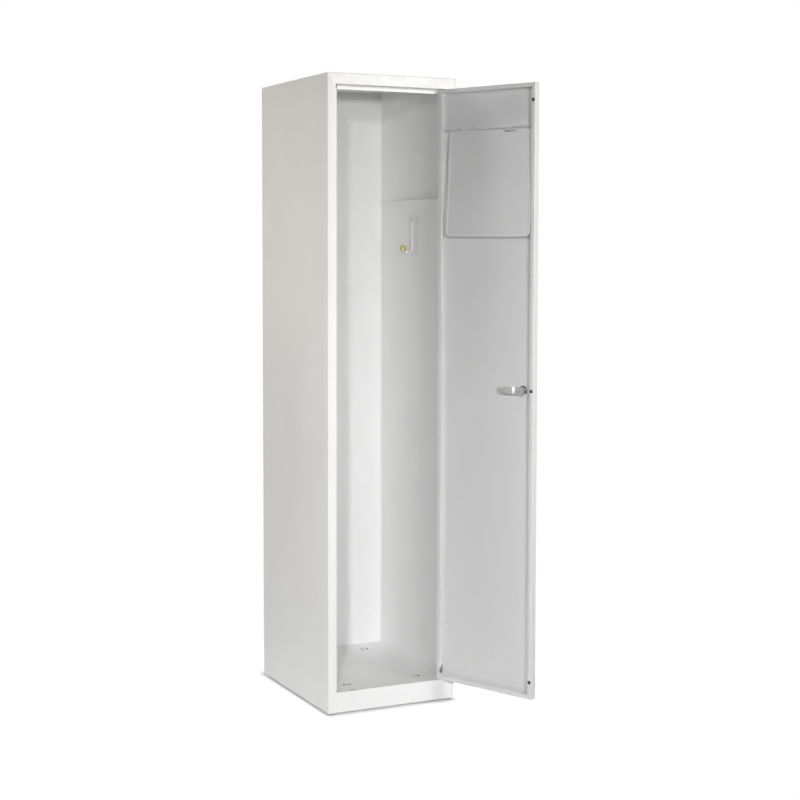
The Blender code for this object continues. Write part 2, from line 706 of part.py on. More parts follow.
def build_lock(door):
    centre = (across(LOCK_EDGE), 0, LOCK_Z)
    face = inward(-GAP)
    rose = face - LOCK_ROSE_THICK
    end = inward(LOCK_REACH)
    bore = LOCK_PLUG + GAP
    body = [(bore, rose), (LOCK_ROSE - LOCK_ROSE_EDGE, rose), (LOCK_ROSE, rose + LOCK_ROSE_EDGE)]
    body += [(LOCK_ROSE, face), (LOCK_BODY, face), (LOCK_BODY, end), (bore, end)]
    turned("lock_barrel", body, centre, "Y", chrome, door)
    start = inward(SHEET + GAP)
    hole = LOCK_BODY + GAP
    nut = [(LOCK_NUT, start), (LOCK_NUT, start + LOCK_NUT_THICK)]
    nut = [(0, start)] + nut + [(0, start + LOCK_NUT_THICK)]
    hexagon = turned("lock_nut", nut, centre, "Y", steel, door, 6)
    drill = [(0, start - SHEET), (hole, start - SHEET)]
    drill += [(hole, start + 2 * LOCK_NUT_THICK), (0, start + 2 * LOCK_NUT_THICK)]
    cut(hexagon, turned("nut_cut", drill, centre, "Y", None, door))


def build_cam(cam):
    # Plug, cranked cam and screw in the lock's own frame, with Y along the plug
    rose = inward(-LOCK_ROSE_THICK)
    end = inward(LOCK_REACH)
    shank = CAM_SCREW + GAP
    depth = CAM_SCREW_DEEP
    plug = [(0, rose), (LOCK_PLUG, rose), (LOCK_PLUG, end), (shank, end)]
    plug += [(shank, end - depth), (0, end - depth)]
    barrel = turned("lock_plug", plug, (0, 0, 0), "Y", chrome, cam)
    lows = (-KEY_LONG / 2, rose - SHEET, -KEY_WIDE / 2)
    highs = (KEY_LONG / 2, rose + KEY_DEEP, KEY_WIDE / 2)
    cut(barrel, slab("key_cut", lows, highs, None, cam))
    base = end + GAP + CAM_THICK / 2
    side = [(-CAM_WIDE, base), (CAM_BEND, base), (CAM_BEND + CAM_CRANK, base + CAM_CRANK)]
    side += [(CAM_LONG + CAM_WIDE, base + CAM_CRANK)]
    plate = prism("lock_cam", ribbon(side, CAM_THICK), -CAM_WIDE, CAM_WIDE, "Z", chrome, cam)
    radius = CAM_WIDE / 2
    tip = CAM_TIP_ROUND
    plan = arc((0, 0), radius, 90, 270, 12)
    plan += arc((CAM_LONG - tip, -radius + tip), tip, 270, 360, 6)
    plan += arc((CAM_LONG - tip, radius - tip), tip, 0, 90, 6)
    plan = [(z, x) for x, z in plan][::-1]
    far = base + 3 * CAM_CRANK
    combine(plate, prism("cam_plan", plan, end - SHEET, far, "Y", None, cam), "INTERSECT")
    hole = [(0, end - SHEET), (shank, end - SHEET), (shank, far), (0, far)]
    cut(plate, turned("cam_cut", hole, (0, 0, 0), "Y", None, cam))
    head = base + CAM_THICK / 2 + GAP
    screw = [(0, end - depth + GAP), (CAM_SCREW, end - depth + GAP), (CAM_SCREW, head)]
    crown = head + CAM_SCREW_CROWN
    screw += [(CAM_SCREW_HEAD, head), (CAM_SCREW_HEAD, (head + crown) / 2)]
    screw += [(CAM_SCREW_FLAT, crown), (0, crown)]
    turned("cam_screw", screw, (0, 0, 0), "Y", steel, cam)


build_shell()
build_floor()
build_base()
build_front_frame()
build_bearers()
build_hooks()
build_pivot_pins()
doorAxis = pivot("door_axis", (PIN_X, PIN_Y, 0), (0, 0, math.radians(DOOR_OPEN)))
build_door_skin(doorAxis)
build_door_channels(doorAxis)
build_pivot_blocks(doorAxis)
build_buffers(doorAxis)
build_flap_hinge(doorAxis)
build_lock(doorAxis)
flapPlace = (across(FLAP_MIDDLE), inward(FLAP_AXIS_DEPTH), FLAP_AXIS_Z)
build_flap(pivot("flap_axis", flapPlace, (math.radians(FLAP_LEAN), 0, 0), doorAxis))
build_cam(pivot("lock_axis", (across(LOCK_EDGE), 0, LOCK_Z), (0, 0, 0), doorAxis))
bpy.context.view_layer.update()
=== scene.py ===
import json
import math

import bmesh
import bpy
import numpy as np
from mathutils import Matrix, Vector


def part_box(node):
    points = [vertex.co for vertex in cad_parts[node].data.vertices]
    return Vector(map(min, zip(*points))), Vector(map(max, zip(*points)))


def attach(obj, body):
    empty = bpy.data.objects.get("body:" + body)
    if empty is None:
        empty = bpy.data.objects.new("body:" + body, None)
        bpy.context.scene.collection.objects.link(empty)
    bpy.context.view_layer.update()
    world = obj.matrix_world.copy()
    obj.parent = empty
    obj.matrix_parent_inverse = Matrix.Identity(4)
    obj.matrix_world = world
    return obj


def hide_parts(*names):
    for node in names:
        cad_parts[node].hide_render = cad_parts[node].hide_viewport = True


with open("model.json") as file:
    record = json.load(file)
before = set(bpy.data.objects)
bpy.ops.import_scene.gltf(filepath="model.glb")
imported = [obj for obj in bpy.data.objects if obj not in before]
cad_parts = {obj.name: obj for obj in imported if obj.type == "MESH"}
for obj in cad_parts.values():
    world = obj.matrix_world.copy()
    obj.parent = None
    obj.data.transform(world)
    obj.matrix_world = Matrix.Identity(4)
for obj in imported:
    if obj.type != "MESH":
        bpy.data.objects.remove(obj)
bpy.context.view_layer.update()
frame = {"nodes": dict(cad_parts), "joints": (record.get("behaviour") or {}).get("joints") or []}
nodes = frame["nodes"]
joints = {joint["name"]: joint for joint in frame["joints"]}
print("frame loaded:", len(nodes), "nodes")

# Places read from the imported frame
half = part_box("back_panel")[1].x
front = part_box("left_stile")[0].y
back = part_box("back_panel")[1].y
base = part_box("left_stile")[0].z
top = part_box("top_panel")[1].z
openHalf = -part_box("left_stile")[1].x
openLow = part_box("plinth_rail")[1].z
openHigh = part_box("top_rail")[0].z
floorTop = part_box("floor_panel")[1].z
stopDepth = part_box("left_stop")[0].y
doorLow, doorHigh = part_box("door_skin")[0].z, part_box("door_skin")[1].z
pinX, pinY = joints["door_hinge"]["pos_m"][:2]
doorOpen = math.radians(-joints["door_hinge"]["range_deg"][0])
sheet = 0.001  # steel thickness of carcass and door
clear = 0.0003  # gap between neighbouring pieces


# Mesh tools

def gridQuads(rows, cols, wrapRows=False, wrapCols=False):
    # Corner numbers of every quad of a rows x cols grid, closed on itself where asked
    r = np.arange(rows if wrapRows else rows - 1)[:, None]
    c = np.arange(cols if wrapCols else cols - 1)[None, :]
    r, c = np.broadcast_arrays(r, c)
    nextR = (r + 1) % rows
    nextC = (c + 1) % cols
    quads = [r * cols + c, r * cols + nextC, nextR * cols + nextC, nextR * cols + c]
    return np.stack(quads, -1).reshape(-1, 4)


def bentLine(corners, bend, steps=5):
    # A line through the corners, with an arc of the bend radius that touches both legs of each turn
    corners = np.asarray(corners, float)
    bends = np.broadcast_to(bend, len(corners) - 2)
    runs = [corners[:1]]
    for before, here, after, radius in zip(corners, corners[1:], corners[2:], bends):
        a = (before - here) / np.linalg.norm(before - here)
        b = (after - here) / np.linalg.norm(after - here)
        opening = math.acos(np.clip(a @ b, -1, 1)) / 2
        centre = here + (a + b) / np.linalg.norm(a + b) * radius / math.sin(opening)
        first = here + a * radius / math.tan(opening) - centre
        last = here + b * radius / math.tan(opening) - centre
        turn = math.pi - 2 * opening
        t = np.linspace(0, 1, steps + 1)[:, None]
        arc = np.sin((1 - t) * turn) * first + np.sin(t * turn) * last
        runs.append(centre + arc / math.sin(turn))
    return np.concatenate(runs + [corners[-1:]])


def sheetRing(line, thick):
    # Closed outline of a bent sheet: its middle line pushed half a thickness to both sides
    line = np.asarray(line, float)
    step = np.diff(line, axis=0)
    step /= np.linalg.norm(step, axis=1)[:, None]
    before = np.vstack([step[:1], step])
    after = np.vstack([step, step[-1:]])
    across = before + after
    across /= np.linalg.norm(across, axis=1)[:, None]
    reach = thick / 2 / np.sum(across * before, axis=1)
    normal = np.stack([-across[:, 1], across[:, 0]], 1) * reach[:, None]
    return np.vstack([line + normal, (line - normal)[::-1]])


def ringCaps(count, rows):
    # End faces of a drawn sheet: one quad between each pair of facing points of its outline
    i = np.arange(count // 2 - 1)
    cap = np.stack([i, i + 1, count - 2 - i, count - 1 - i], -1)
    return np.vstack([cap, cap + (rows - 1) * count])


def drawSheet(ring, along, place):
    # An outline ring repeated at each station along a straight line; place puts (a, b, along) in space
    along = np.asarray(along, float)
    count = len(ring)
    a = np.tile(ring[:, 0], len(along))
    b = np.tile(ring[:, 1], len(along))
    points = place(a, b, np.repeat(along, count))
    return points, np.vstack([gridQuads(len(along), count, wrapCols=True), ringCaps(count, len(along))])


def lathe(profile, place, steps=48, sink=None):
    # A (radius, along) profile turned full circle; sink lowers points by their place across the axis
    radius, along = np.asarray(profile, float).T
    angle = np.linspace(0, 2 * math.pi, steps, endpoint=False)
    p = radius[:, None] * np.cos(angle)
    q = radius[:, None] * np.sin(angle)
    a = np.repeat(along[:, None], steps, 1)
    if sink is not None:
        a = a + sink(p, q, a)
    points = place(p.ravel(), q.ravel(), a.ravel())
    return points, gridQuads(len(radius), steps, wrapRows=True, wrapCols=True)


def loopRect(u0, v0, u1, v1, radius, steps=4):
    # Points round a rectangle with round corners, from its low left corner anticlockwise
    turn = np.linspace(0, math.pi / 2, steps + 1)
    runs = []
    for k, (u, v) in enumerate([(u0, v0), (u1, v0), (u1, v1), (u0, v1)]):
        angle = turn + math.pi * (1 + k / 2)
        inU = radius if u == u0 else -radius
        inV = radius if v == v0 else -radius
        runs.append(np.stack([u + inU + radius * np.cos(angle), v + inV + radius * np.sin(angle)], 1))
    return np.concatenate(runs)


def addPiece(name, shells, material, body, standsFor, sharp=32, weld=2e-6):
    # Joins shells into one mesh, merges doubles, points the faces outwards and smooths under the sharp angle
    points = np.vstack([shell[0] for shell in shells])
    starts = np.cumsum([0] + [len(shell[0]) for shell in shells[:-1]])
    quads = np.vstack([shell[1] + start for shell, start in zip(shells, starts)])
    mesh = bpy.data.meshes.new(name)
    mesh.from_pydata(points.tolist(), [], quads.tolist())
    shape = bmesh.new()
    shape.from_mesh(mesh)
    bmesh.ops.remove_doubles(shape, verts=shape.verts, dist=weld)
    bmesh.ops.dissolve_degenerate(shape, edges=shape.edges, dist=weld)
    bmesh.ops.recalc_face_normals(shape, faces=shape.faces)
    shape.to_mesh(mesh)
    shape.free()
    mesh.shade_smooth()
    mesh.set_sharp_from_angle(angle=math.radians(sharp))
    mesh.materials.append(material)
    piece = bpy.data.objects.new(name, mesh)
    bpy.context.scene.collection.objects.link(piece)
    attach(piece, body)
    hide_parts(*standsFor)


def dress(nodeNames, material):
    # Gives carried-over frame nodes their finish
    for nodeName in nodeNames:
        nodes[nodeName].data.materials.clear()
        nodes[nodeName].data.materials.append(material)


# Finishes

def newFinish(name):
    material = bpy.data.materials.new(name)
    material.use_nodes = True
    tree = material.node_tree
    shader = tree.nodes["Principled BSDF"]
    coords = tree.nodes.new("ShaderNodeTexCoord")
    return material, tree, shader, coords


def noiseNode(tree, coords, scale, detail=2.0, stretch=None):
    source = coords.outputs["Object"]
    if stretch is not None:
        mapping = tree.nodes.new("ShaderNodeMapping")
        mapping.inputs["Scale"].default_value = stretch
        tree.links.new(source, mapping.inputs["Vector"])
        source = mapping.outputs["Vector"]
    noise = tree.nodes.new("ShaderNodeTexNoise")
    noise.inputs["Scale"].default_value = scale
    noise.inputs["Detail"].default_value = detail
    tree.links.new(source, noise.inputs["Vector"])
    return noise.outputs["Fac"]


def rangeNode(tree, value, low, high, fromLow=0.35, fromHigh=0.65):
    remap = tree.nodes.new("ShaderNodeMapRange")
    remap.inputs["From Min"].default_value = fromLow
    remap.inputs["From Max"].default_value = fromHigh
    remap.inputs["To Min"].default_value = low
    remap.inputs["To Max"].default_value = high
    tree.links.new(value, remap.inputs["Value"])
    return remap.outputs["Result"]


def tintNode(tree, factor, low, high):
    mix = tree.nodes.new("ShaderNodeMix")
    mix.data_type = "RGBA"
    mix.inputs["A"].default_value = (*low, 1)
    mix.inputs["B"].default_value = (*high, 1)
    tree.links.new(factor, mix.inputs["Factor"])
    return mix.outputs["Result"]


def bumpNode(tree, shader, height, strength, distance):
    bump = tree.nodes.new("ShaderNodeBump")
    bump.inputs["Strength"].default_value = strength
    bump.inputs["Distance"].default_value = distance
    tree.links.new(height, bump.inputs["Height"])
    tree.links.new(bump.outputs["Normal"], shader.inputs["Normal"])


# The door's tone is painted shade: the door uses a darker copy of the same white coat.
coat = dict(pale=0.922, deep=0.907, rough=(0.34, 0.44), clouds=7, glossPatch=60, doorTone=0.95)
coat.update(peel=620, peelStrength=0.25, peelDeep=0.00006)


def powderCoat(name, tone=1.0):
    # Satin white powder coat: faint clouds of tone, uneven gloss and a fine orange peel
    material, tree, shader, coords = newFinish(name)
    clouds = rangeNode(tree, noiseNode(tree, coords, coat["clouds"], 3), 0, 1)
    deep, pale = (coat["deep"] * tone,) * 3, (coat["pale"] * tone,) * 3
    tree.links.new(tintNode(tree, clouds, deep, pale), shader.inputs["Base Color"])
    gloss = rangeNode(tree, noiseNode(tree, coords, coat["glossPatch"], 3), *coat["rough"])
    tree.links.new(gloss, shader.inputs["Roughness"])
    peel = noiseNode(tree, coords, coat["peel"], 2)
    bumpNode(tree, shader, peel, coat["peelStrength"], coat["peelDeep"])
    return material


plating = dict(streaks=220, glossPatch=90, ripple=0.15, rippleDeep=0.00004)


def plated(name, low, high, rough, stretch, scale=plating["streaks"], metallic=1):
    # Plated metal: streaks of tone and gloss along the rolling direction, with a faint ripple
    material, tree, shader, coords = newFinish(name)
    streaks = noiseNode(tree, coords, scale, 4, stretch)
    tree.links.new(tintNode(tree, rangeNode(tree, streaks, 0, 1), low, high), shader.inputs["Base Color"])
    gloss = rangeNode(tree, noiseNode(tree, coords, plating["glossPatch"], 3), *rough)
    tree.links.new(gloss, shader.inputs["Roughness"])
    shader.inputs["Metallic"].default_value = metallic
    bumpNode(tree, shader, streaks, plating["ripple"], plating["rippleDeep"])
    return material


moulding = dict(mottle=120, glossPatch=300, grainStrength=0.3)


def moulded(name, low, high, rough, grain, depth):
    # Moulded rubber or plastic: slight mottling over a fine mould grain
    material, tree, shader, coords = newFinish(name)
    mottle = rangeNode(tree, noiseNode(tree, coords, moulding["mottle"], 3), 0, 1)
    tree.links.new(tintNode(tree, mottle, low, high), shader.inputs["Base Color"])
    gloss = rangeNode(tree, noiseNode(tree, coords, moulding["glossPatch"], 2), *rough)
    tree.links.new(gloss, shader.inputs["Roughness"])
    bumpNode(tree, shader, noiseNode(tree, coords, grain, 2), moulding["grainStrength"], depth)
    return material


whiteCoat = powderCoat("powder_coat_white")
# Painted shade: the door, its flap and its rail get the same coat made darker, standing in for less light on
# the open door.
shadedDoorCoat = powderCoat("powder_coat_door", coat["doorTone"])
zincPlate = plated("zinc_plate", (0.84, 0.84, 0.825), (0.89, 0.89, 0.875), (0.50, 0.60),
                   (1, 1, 0.08), metallic=0.15)
brightChrome = plated("bright_chrome", (0.50, 0.50, 0.51), (0.60, 0.60, 0.61), (0.08, 0.15), (1, 1, 0.3))
satinNickel = plated("satin_nickel", (0.35, 0.35, 0.35), (0.41, 0.41, 0.405), (0.32, 0.38), (1, 1, 0.3))
dullNickel = plated("dull_nickel", (0.91, 0.91, 0.90), (0.96, 0.96, 0.95), (0.40, 0.50),
                    (1, 1, 0.3), metallic=0.1)
brassFinish = plated("polished_brass", (0.70, 0.61, 0.22), (0.80, 0.72, 0.31), (0.04, 0.08), (1, 1, 1), 90)
plainSteel = plated("zinc_steel", (0.26, 0.26, 0.265), (0.36, 0.36, 0.36), (0.16, 0.26), (1, 1, 0.2))
blackRubber = moulded("black_rubber", (0.012, 0.012, 0.012), (0.028, 0.028, 0.028), (0.35, 0.5),
                      1400, 0.00005)
whitePlastic = moulded("white_plastic", (0.86, 0.86, 0.84), (0.91, 0.91, 0.90), (0.32, 0.42), 1100, 0.00003)
print("finishes made")


# Carcass

shell = dict(bend=0.0016, innerBend=0.0012, backFlange=0.018, cornerSteps=4, tuck=0.00003)
shell.update(stopStart=0.012, stopLap=0.002, lap=0.004, plinthReach=0.007, rearGap=0.0002, rearRim=0.006)


def frameProfile(width):
    # Folded sheet of one side, as (inset from the outside, depth): return, face, side and back flange
    mid = sheet / 2
    corners = [
        (width - mid, stopDepth - clear),
        (width - mid, front + mid),
        (mid, front + mid),
        (mid, back - mid),
        (shell["backFlange"], back - mid),
    ]
    bends = [shell["innerBend"] - mid, shell["bend"] - mid, shell["bend"] - mid]
    return sheetRing(bentLine(corners, bends), sheet)


def carcassShell():
    # The profile of each side carried up the left, across the top and down the right, mitred at the corners
    sideRing = frameProfile(half - openHalf)
    topRing = frameProfile(top - openHigh)
    inset, depth = sideRing.T
    topInset = topRing[:, 0]
    isReturn = (inset > half - openHalf - 2 * sheet) & (depth > front + 2 * sheet)
    low = np.where(isReturn, floorTop, base)
    corner = np.clip(shell["bend"] - inset, 0, None)
    turn = np.linspace(0, math.pi / 2, shell["cornerSteps"] + 1)[:, None]
    leftX = -half + inset + corner * (1 - np.cos(turn))
    cornerZ = top - topInset - corner * (1 - np.sin(turn))
    x = np.vstack([(-half + inset)[None], leftX, -leftX[::-1], (half - inset)[None]])
    z = np.vstack([low[None], cornerZ, cornerZ[::-1], low[None]])
    rows, count = x.shape
    y = np.broadcast_to(depth, x.shape)
    points = np.stack([x, y, z], -1).reshape(-1, 3)
    return points, np.vstack([gridQuads(rows, count, wrapCols=True), ringCaps(count, rows)])


def alongX(a, b, along):
    return np.stack([along, a, b], -1)


def alongZ(a, b, along):
    return np.stack([a, b, along], -1)


def alongY(a, b, along):
    return np.stack([a, along, b], -1)


def stopStrips():
    # The strips that the door closes against, each turned in behind the frame's return
    mid = sheet / 2
    start, behind = front + shell["stopStart"], stopDepth + mid
    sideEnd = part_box("left_stop")[1].x
    line = bentLine([(-openHalf - mid, start), (-openHalf - mid, behind), (sideEnd, behind)], sheet)
    side = drawSheet(sheetRing(line, sheet), (floorTop + clear, top - sheet - clear), alongZ)
    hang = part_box("top_stop")[0].z
    level = openHigh + 1.5 * sheet
    line = bentLine([(start, level), (behind, level), (behind, hang)], sheet)
    over = drawSheet(sheetRing(line, sheet), (sideEnd - shell["stopLap"], openHalf + shell["lap"]), alongX)
    return [side, over]


def plinthFold():
    # Front rail under the door: foot flange, face and a bend that runs on to the floor sheet
    mid = sheet / 2
    face = front + shell["tuck"] + mid
    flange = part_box("plinth_rail")[1].y
    foot, head = base + mid, openLow - mid
    corners = [(flange, foot), (face, foot), (face, head), (front + shell["plinthReach"], head)]
    line = bentLine(corners, [shell["bend"] - mid, shell["innerBend"] - mid])
    reach = openHalf + shell["lap"]
    return drawSheet(sheetRing(line, sheet), (-reach, reach), alongX)


def rearSheet():
    # Flat back sheet, set against the inside of the shell's back flanges, with a small turned-in rim
    mid, gap = sheet / 2, shell["rearGap"]
    edge = half - sheet - mid - gap
    face = back - sheet - mid - gap
    rim = face - shell["rearRim"]
    line = bentLine([(-edge, rim), (-edge, face), (edge, face), (edge, rim)], sheet)
    return drawSheet(sheetRing(line, sheet), (floorTop + clear, top - sheet - clear), alongZ)


carcassNodes = ("left_side_panel", "right_side_panel", "top_panel", "left_stile", "right_stile", "top_rail")
carcassNodes += ("left_stop", "top_stop")
carcassParts = [carcassShell()] + stopStrips()
addPiece("carcass_shell", carcassParts, whiteCoat, "carcass", carcassNodes)
addPiece("plinth_fold", [plinthFold()], whiteCoat, "carcass", ["plinth_rail"])
addPiece("rear_sheet", [rearSheet()], whiteCoat, "carcass", ["back_panel"])
dress(["floor_panel", "rear_plinth"], whiteCoat)


runner = dict(setBack=0.011, edge=0.0008, footInset=0.0004, topGap=0.0002)
runner.update(groove=0.0006, pitch=0.030, mouth=0.0012, bed=0.0008)


def runnerSkid(node, setBack):
    # Moulded skid: a rounded rectangle carried along the base, with round ends and shallow grooves across it
    low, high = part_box(node)
    edge, groove = runner["edge"], runner["groove"]
    mouth, bed = runner["mouth"], runner["bed"]
    grooves = np.arange(low.x + runner["pitch"], high.x - runner["pitch"] / 2, runner["pitch"])
    steps = grooves[:, None] + np.array([-mouth, -bed, bed, mouth])
    x = np.concatenate([[low.x, low.x, low.x + edge], steps.ravel(), [high.x - edge, high.x, high.x]])
    dips = np.tile([0, groove, groove, 0], len(grooves))
    inset = np.concatenate([[edge, edge, 0], dips, [0, edge, edge]])
    face, head = low.y + setBack, high.z - runner["topGap"]
    foot = low.z + np.minimum(inset, runner["footInset"])
    grid = np.stack([loopRect(face + i, z, high.y - i, head, edge) for i, z in zip(inset, foot)])
    count = grid.shape[1]
    grid[0] = grid[0].mean(axis=0)
    grid[-1] = grid[-1].mean(axis=0)
    points = alongX(grid[..., 0].ravel(), grid[..., 1].ravel(), np.repeat(x, count))
    return points, gridQuads(len(x), count, wrapCols=True)


for end, setBack in (("front", runner["setBack"]), ("rear", 0)):
    node = end + "_runner"
    skid = runnerSkid(node, setBack)
    addPiece("base_skid_" + end, [skid], whitePlastic, "carcass", [node])
print("carcass dressed")


bearer = dict(bend=0.002)


def bearerAngle(side):
    # Steel angle along one wall: a leg on the wall and a seat that carries a shelf
    low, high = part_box("bearer_right")
    mid = sheet / 2
    wall = high.x - mid
    corners = np.array([(wall, low.z), (wall, high.z - mid), (low.x, high.z - mid)])
    ring = sheetRing(bentLine(corners, bearer["bend"] - mid), sheet)
    return drawSheet(ring * (side, 1), (low.y, high.y), alongY)


for sideName, side in (("left", -1), ("right", 1)):
    node = "bearer_" + sideName
    angle = bearerAngle(side)
    addPiece("shelf_bearer_" + sideName, [angle], whiteCoat, "carcass", [node])


# Hooks: plate, bent rod and ball, on each wall

hook = dict(rod=0.0025, stem=0.0798, stemLow=0.0200, bend=0.0130, sweep=52, tip=0.0095, headDome=0.55)
hook.update(plateRound=0.018, footRound=0.006, plateEdge=0.0007)
hook.update(ball=0.0096, ballEnd=68, seat=0.0067)
hook.update(plateSteps=6, bendSteps=28, rodSteps=20, ballSteps=40)
collar = [(0.0041, 0.0089), (0.0046, 0.0094), (0.0046, 0.0104), (0.0036, 0.0107), (0.0026, 0.0107)]


def hookPlate(place, wide, tall, thick):
    # Plate with a rounded head: its outline drawn in towards both faces by a small edge radius
    edge, steps = hook["plateEdge"], hook["plateSteps"]
    split = 2 * (steps + 1)  # the two corners of the foot come first
    turn = np.linspace(0, math.pi / 2, 5)
    inset = np.concatenate([edge * (1 - np.cos(turn[::-1])), edge * (1 - np.cos(turn))])
    depth = np.concatenate([edge * (1 - np.sin(turn[::-1])), thick - edge * (1 - np.sin(turn))])
    loops = []
    for i in inset:
        edges = (-wide / 2 + i, i, wide / 2 - i, tall - i)
        foot = loopRect(*edges, hook["footRound"] - i, steps)[:split]
        head = loopRect(*edges, hook["plateRound"] - i, steps)[split:]
        loops.append(np.vstack([foot, head]))
    grid = np.stack(loops)
    count = grid.shape[1]
    ends = np.broadcast_to(np.array([[0, tall / 2]]), grid[:1].shape)
    grid = np.concatenate([ends, grid, ends])
    depth = np.concatenate([depth[:1], depth, depth[-1:]])
    points = place(np.repeat(depth, count), grid[..., 1].ravel(), grid[..., 0].ravel())
    return points, gridQuads(len(depth), count, wrapCols=True)


def hookRod(place):
    # Round rod: a circle carried down the stem, round the bend and up the tip, with domed ends
    radius = hook["rod"]
    stem = radius + clear
    turn = np.radians(np.linspace(180, 270 + hook["sweep"], hook["bendSteps"]))
    bendOut = stem + hook["bend"] + hook["bend"] * np.cos(turn)
    bendUp = hook["stemLow"] + hook["bend"] * np.sin(turn)
    way = np.array([math.cos(math.radians(hook["sweep"])), math.sin(math.radians(hook["sweep"]))])
    tip = np.array([bendOut[-1], bendUp[-1]]) + hook["tip"] * way
    headUp = hook["stemLow"] + hook["stem"]
    line = np.vstack([[(stem, headUp), (stem, headUp - radius)], np.stack([bendOut, bendUp], 1), [tip]])
    heading = np.gradient(line, axis=0)
    heading /= np.linalg.norm(heading, axis=1)[:, None]
    dome = np.ones(len(line))
    dome[0] = hook["headDome"]
    line = np.vstack([line[:1], line, line[-1:]])
    heading = np.vstack([heading[:1], heading, heading[-1:]])
    dome = np.concatenate([[0], dome, [0]])
    steps = hook["rodSteps"]
    angle = np.linspace(0, 2 * math.pi, steps, endpoint=False)
    off = radius * dome[:, None] * np.cos(angle)
    along = radius * dome[:, None] * np.sin(angle)
    out = line[:, :1] - off * heading[:, 1:]
    up = line[:, 1:] + off * heading[:, :1]
    return place(out.ravel(), up.ravel(), along.ravel()), gridQuads(len(line), steps, wrapCols=True), tip, way


def hookBall(place, tip, way):
    # Ball with a small collar, given as (radius, along), where the rod enters; turned about the rod's end
    size = hook["ball"]
    middle = tip + (size - hook["seat"]) * way
    turn = np.radians(np.linspace(-90, hook["ballEnd"], hook["ballSteps"]))
    collarRadius, collarAlong = np.array(collar).T
    radius = np.concatenate([size * np.cos(turn), collarRadius, [0]])
    along = np.concatenate([size * np.sin(turn), collarAlong, collarAlong[-1:]])
    side = np.array([-way[1], way[0]])

    def turnedPlace(p, q, a):
        spot = middle[:, None] + side[:, None] * p - way[:, None] * a
        return place(spot[0], spot[1], q)

    return lathe(np.stack([radius, along], 1), turnedPlace, hook["ballSteps"])


for sideName, side in (("left", -1), ("right", 1)):
    low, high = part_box("hook_plate_" + sideName)
    wallX = side * max(abs(low.x), abs(high.x))
    middleY = (low.y + high.y) / 2
    thick = high.x - low.x

    def fromWall(out, up, along, x=wallX, y=middleY, z=low.z, s=side):
        return np.stack([x - s * out, y + along, z + up], -1)

    def fromPlate(out, up, along, place=fromWall, plate=thick):
        return place(out + plate, up, along)

    plate = hookPlate(fromWall, high.y - low.y, high.z - low.z, thick)
    *rod, tip, way = hookRod(fromPlate)
    ball = hookBall(fromPlate, tip, way)
    names = {kind: f"hook_{kind}_{sideName}" for kind in ("plate", "rod", "ball")}
    addPiece("hanger_plate_" + sideName, [plate], zincPlate, "carcass", [names["plate"]])
    addPiece("hanger_rod_" + sideName, [rod], dullNickel, "carcass", [names["rod"]])
    addPiece("hanger_ball_" + sideName, [ball], brassFinish, "carcass", [names["ball"]], 40)
print("bearers and hooks made")


# Door, in its own measures: u from the hinge edge, w behind the outer face, z up

door = dict(wide=0.344, thick=0.020, pinInset=0.009, pinDepth=0.007, bend=0.0016, lipBend=0.0013)
door.update(lipHinge=0.015, lipLock=0.011, lipTop=0.012, lipBottom=0.0125, skinStart=0.030)
door.update(lipReturn=0.0028, returnStart=0.003)
door.update(notchLow=0.019, notchTall=0.040, notchBite=0.0038, notchRound=0.004, notchMargin=0.004)
flapAxisZ = joints["flap_hinge"]["pos_m"][2]
drop = dict(low=flapAxisZ - 0.2509, high=flapAxisZ - 0.053, start=0.0592, end=0.2994, round=0.014)


def doorPoint(u, w, z):
    # The closed door's measures, turned about the pivot pins to the open pose
    x = door["pinInset"] - u
    y = w - door["pinDepth"]
    c, s = math.cos(doorOpen), math.sin(doorOpen)
    return np.stack([pinX + c * x - s * y, pinY + s * x + c * y, z], -1)


def doorAlongU(w, z, u):
    return doorPoint(u, w, z)


def panProfile(lip):
    # Folded edge of the pan, as (inset, depth): lip, edge wall and the start of the skin
    mid = sheet / 2
    plane = door["thick"] - mid
    corners = [(lip, plane), (mid, plane), (mid, mid), (door["skinStart"], mid)]
    return sheetRing(bentLine(corners, [door["lipBend"] - mid, door["bend"] - mid], 4), sheet)


def notchBite(z):
    # How far the notch in the hinge lip cuts in at each height, with round ends
    low = doorLow + door["notchLow"]
    rise = np.clip((z - low) / door["notchRound"], 0, 1)
    fall = np.clip((low + door["notchTall"] - z) / door["notchRound"], 0, 1)
    share = np.sqrt(1 - (1 - rise) ** 2) * np.sqrt(1 - (1 - fall) ** 2)
    return share * (door["notchBite"] - door["returnStart"])


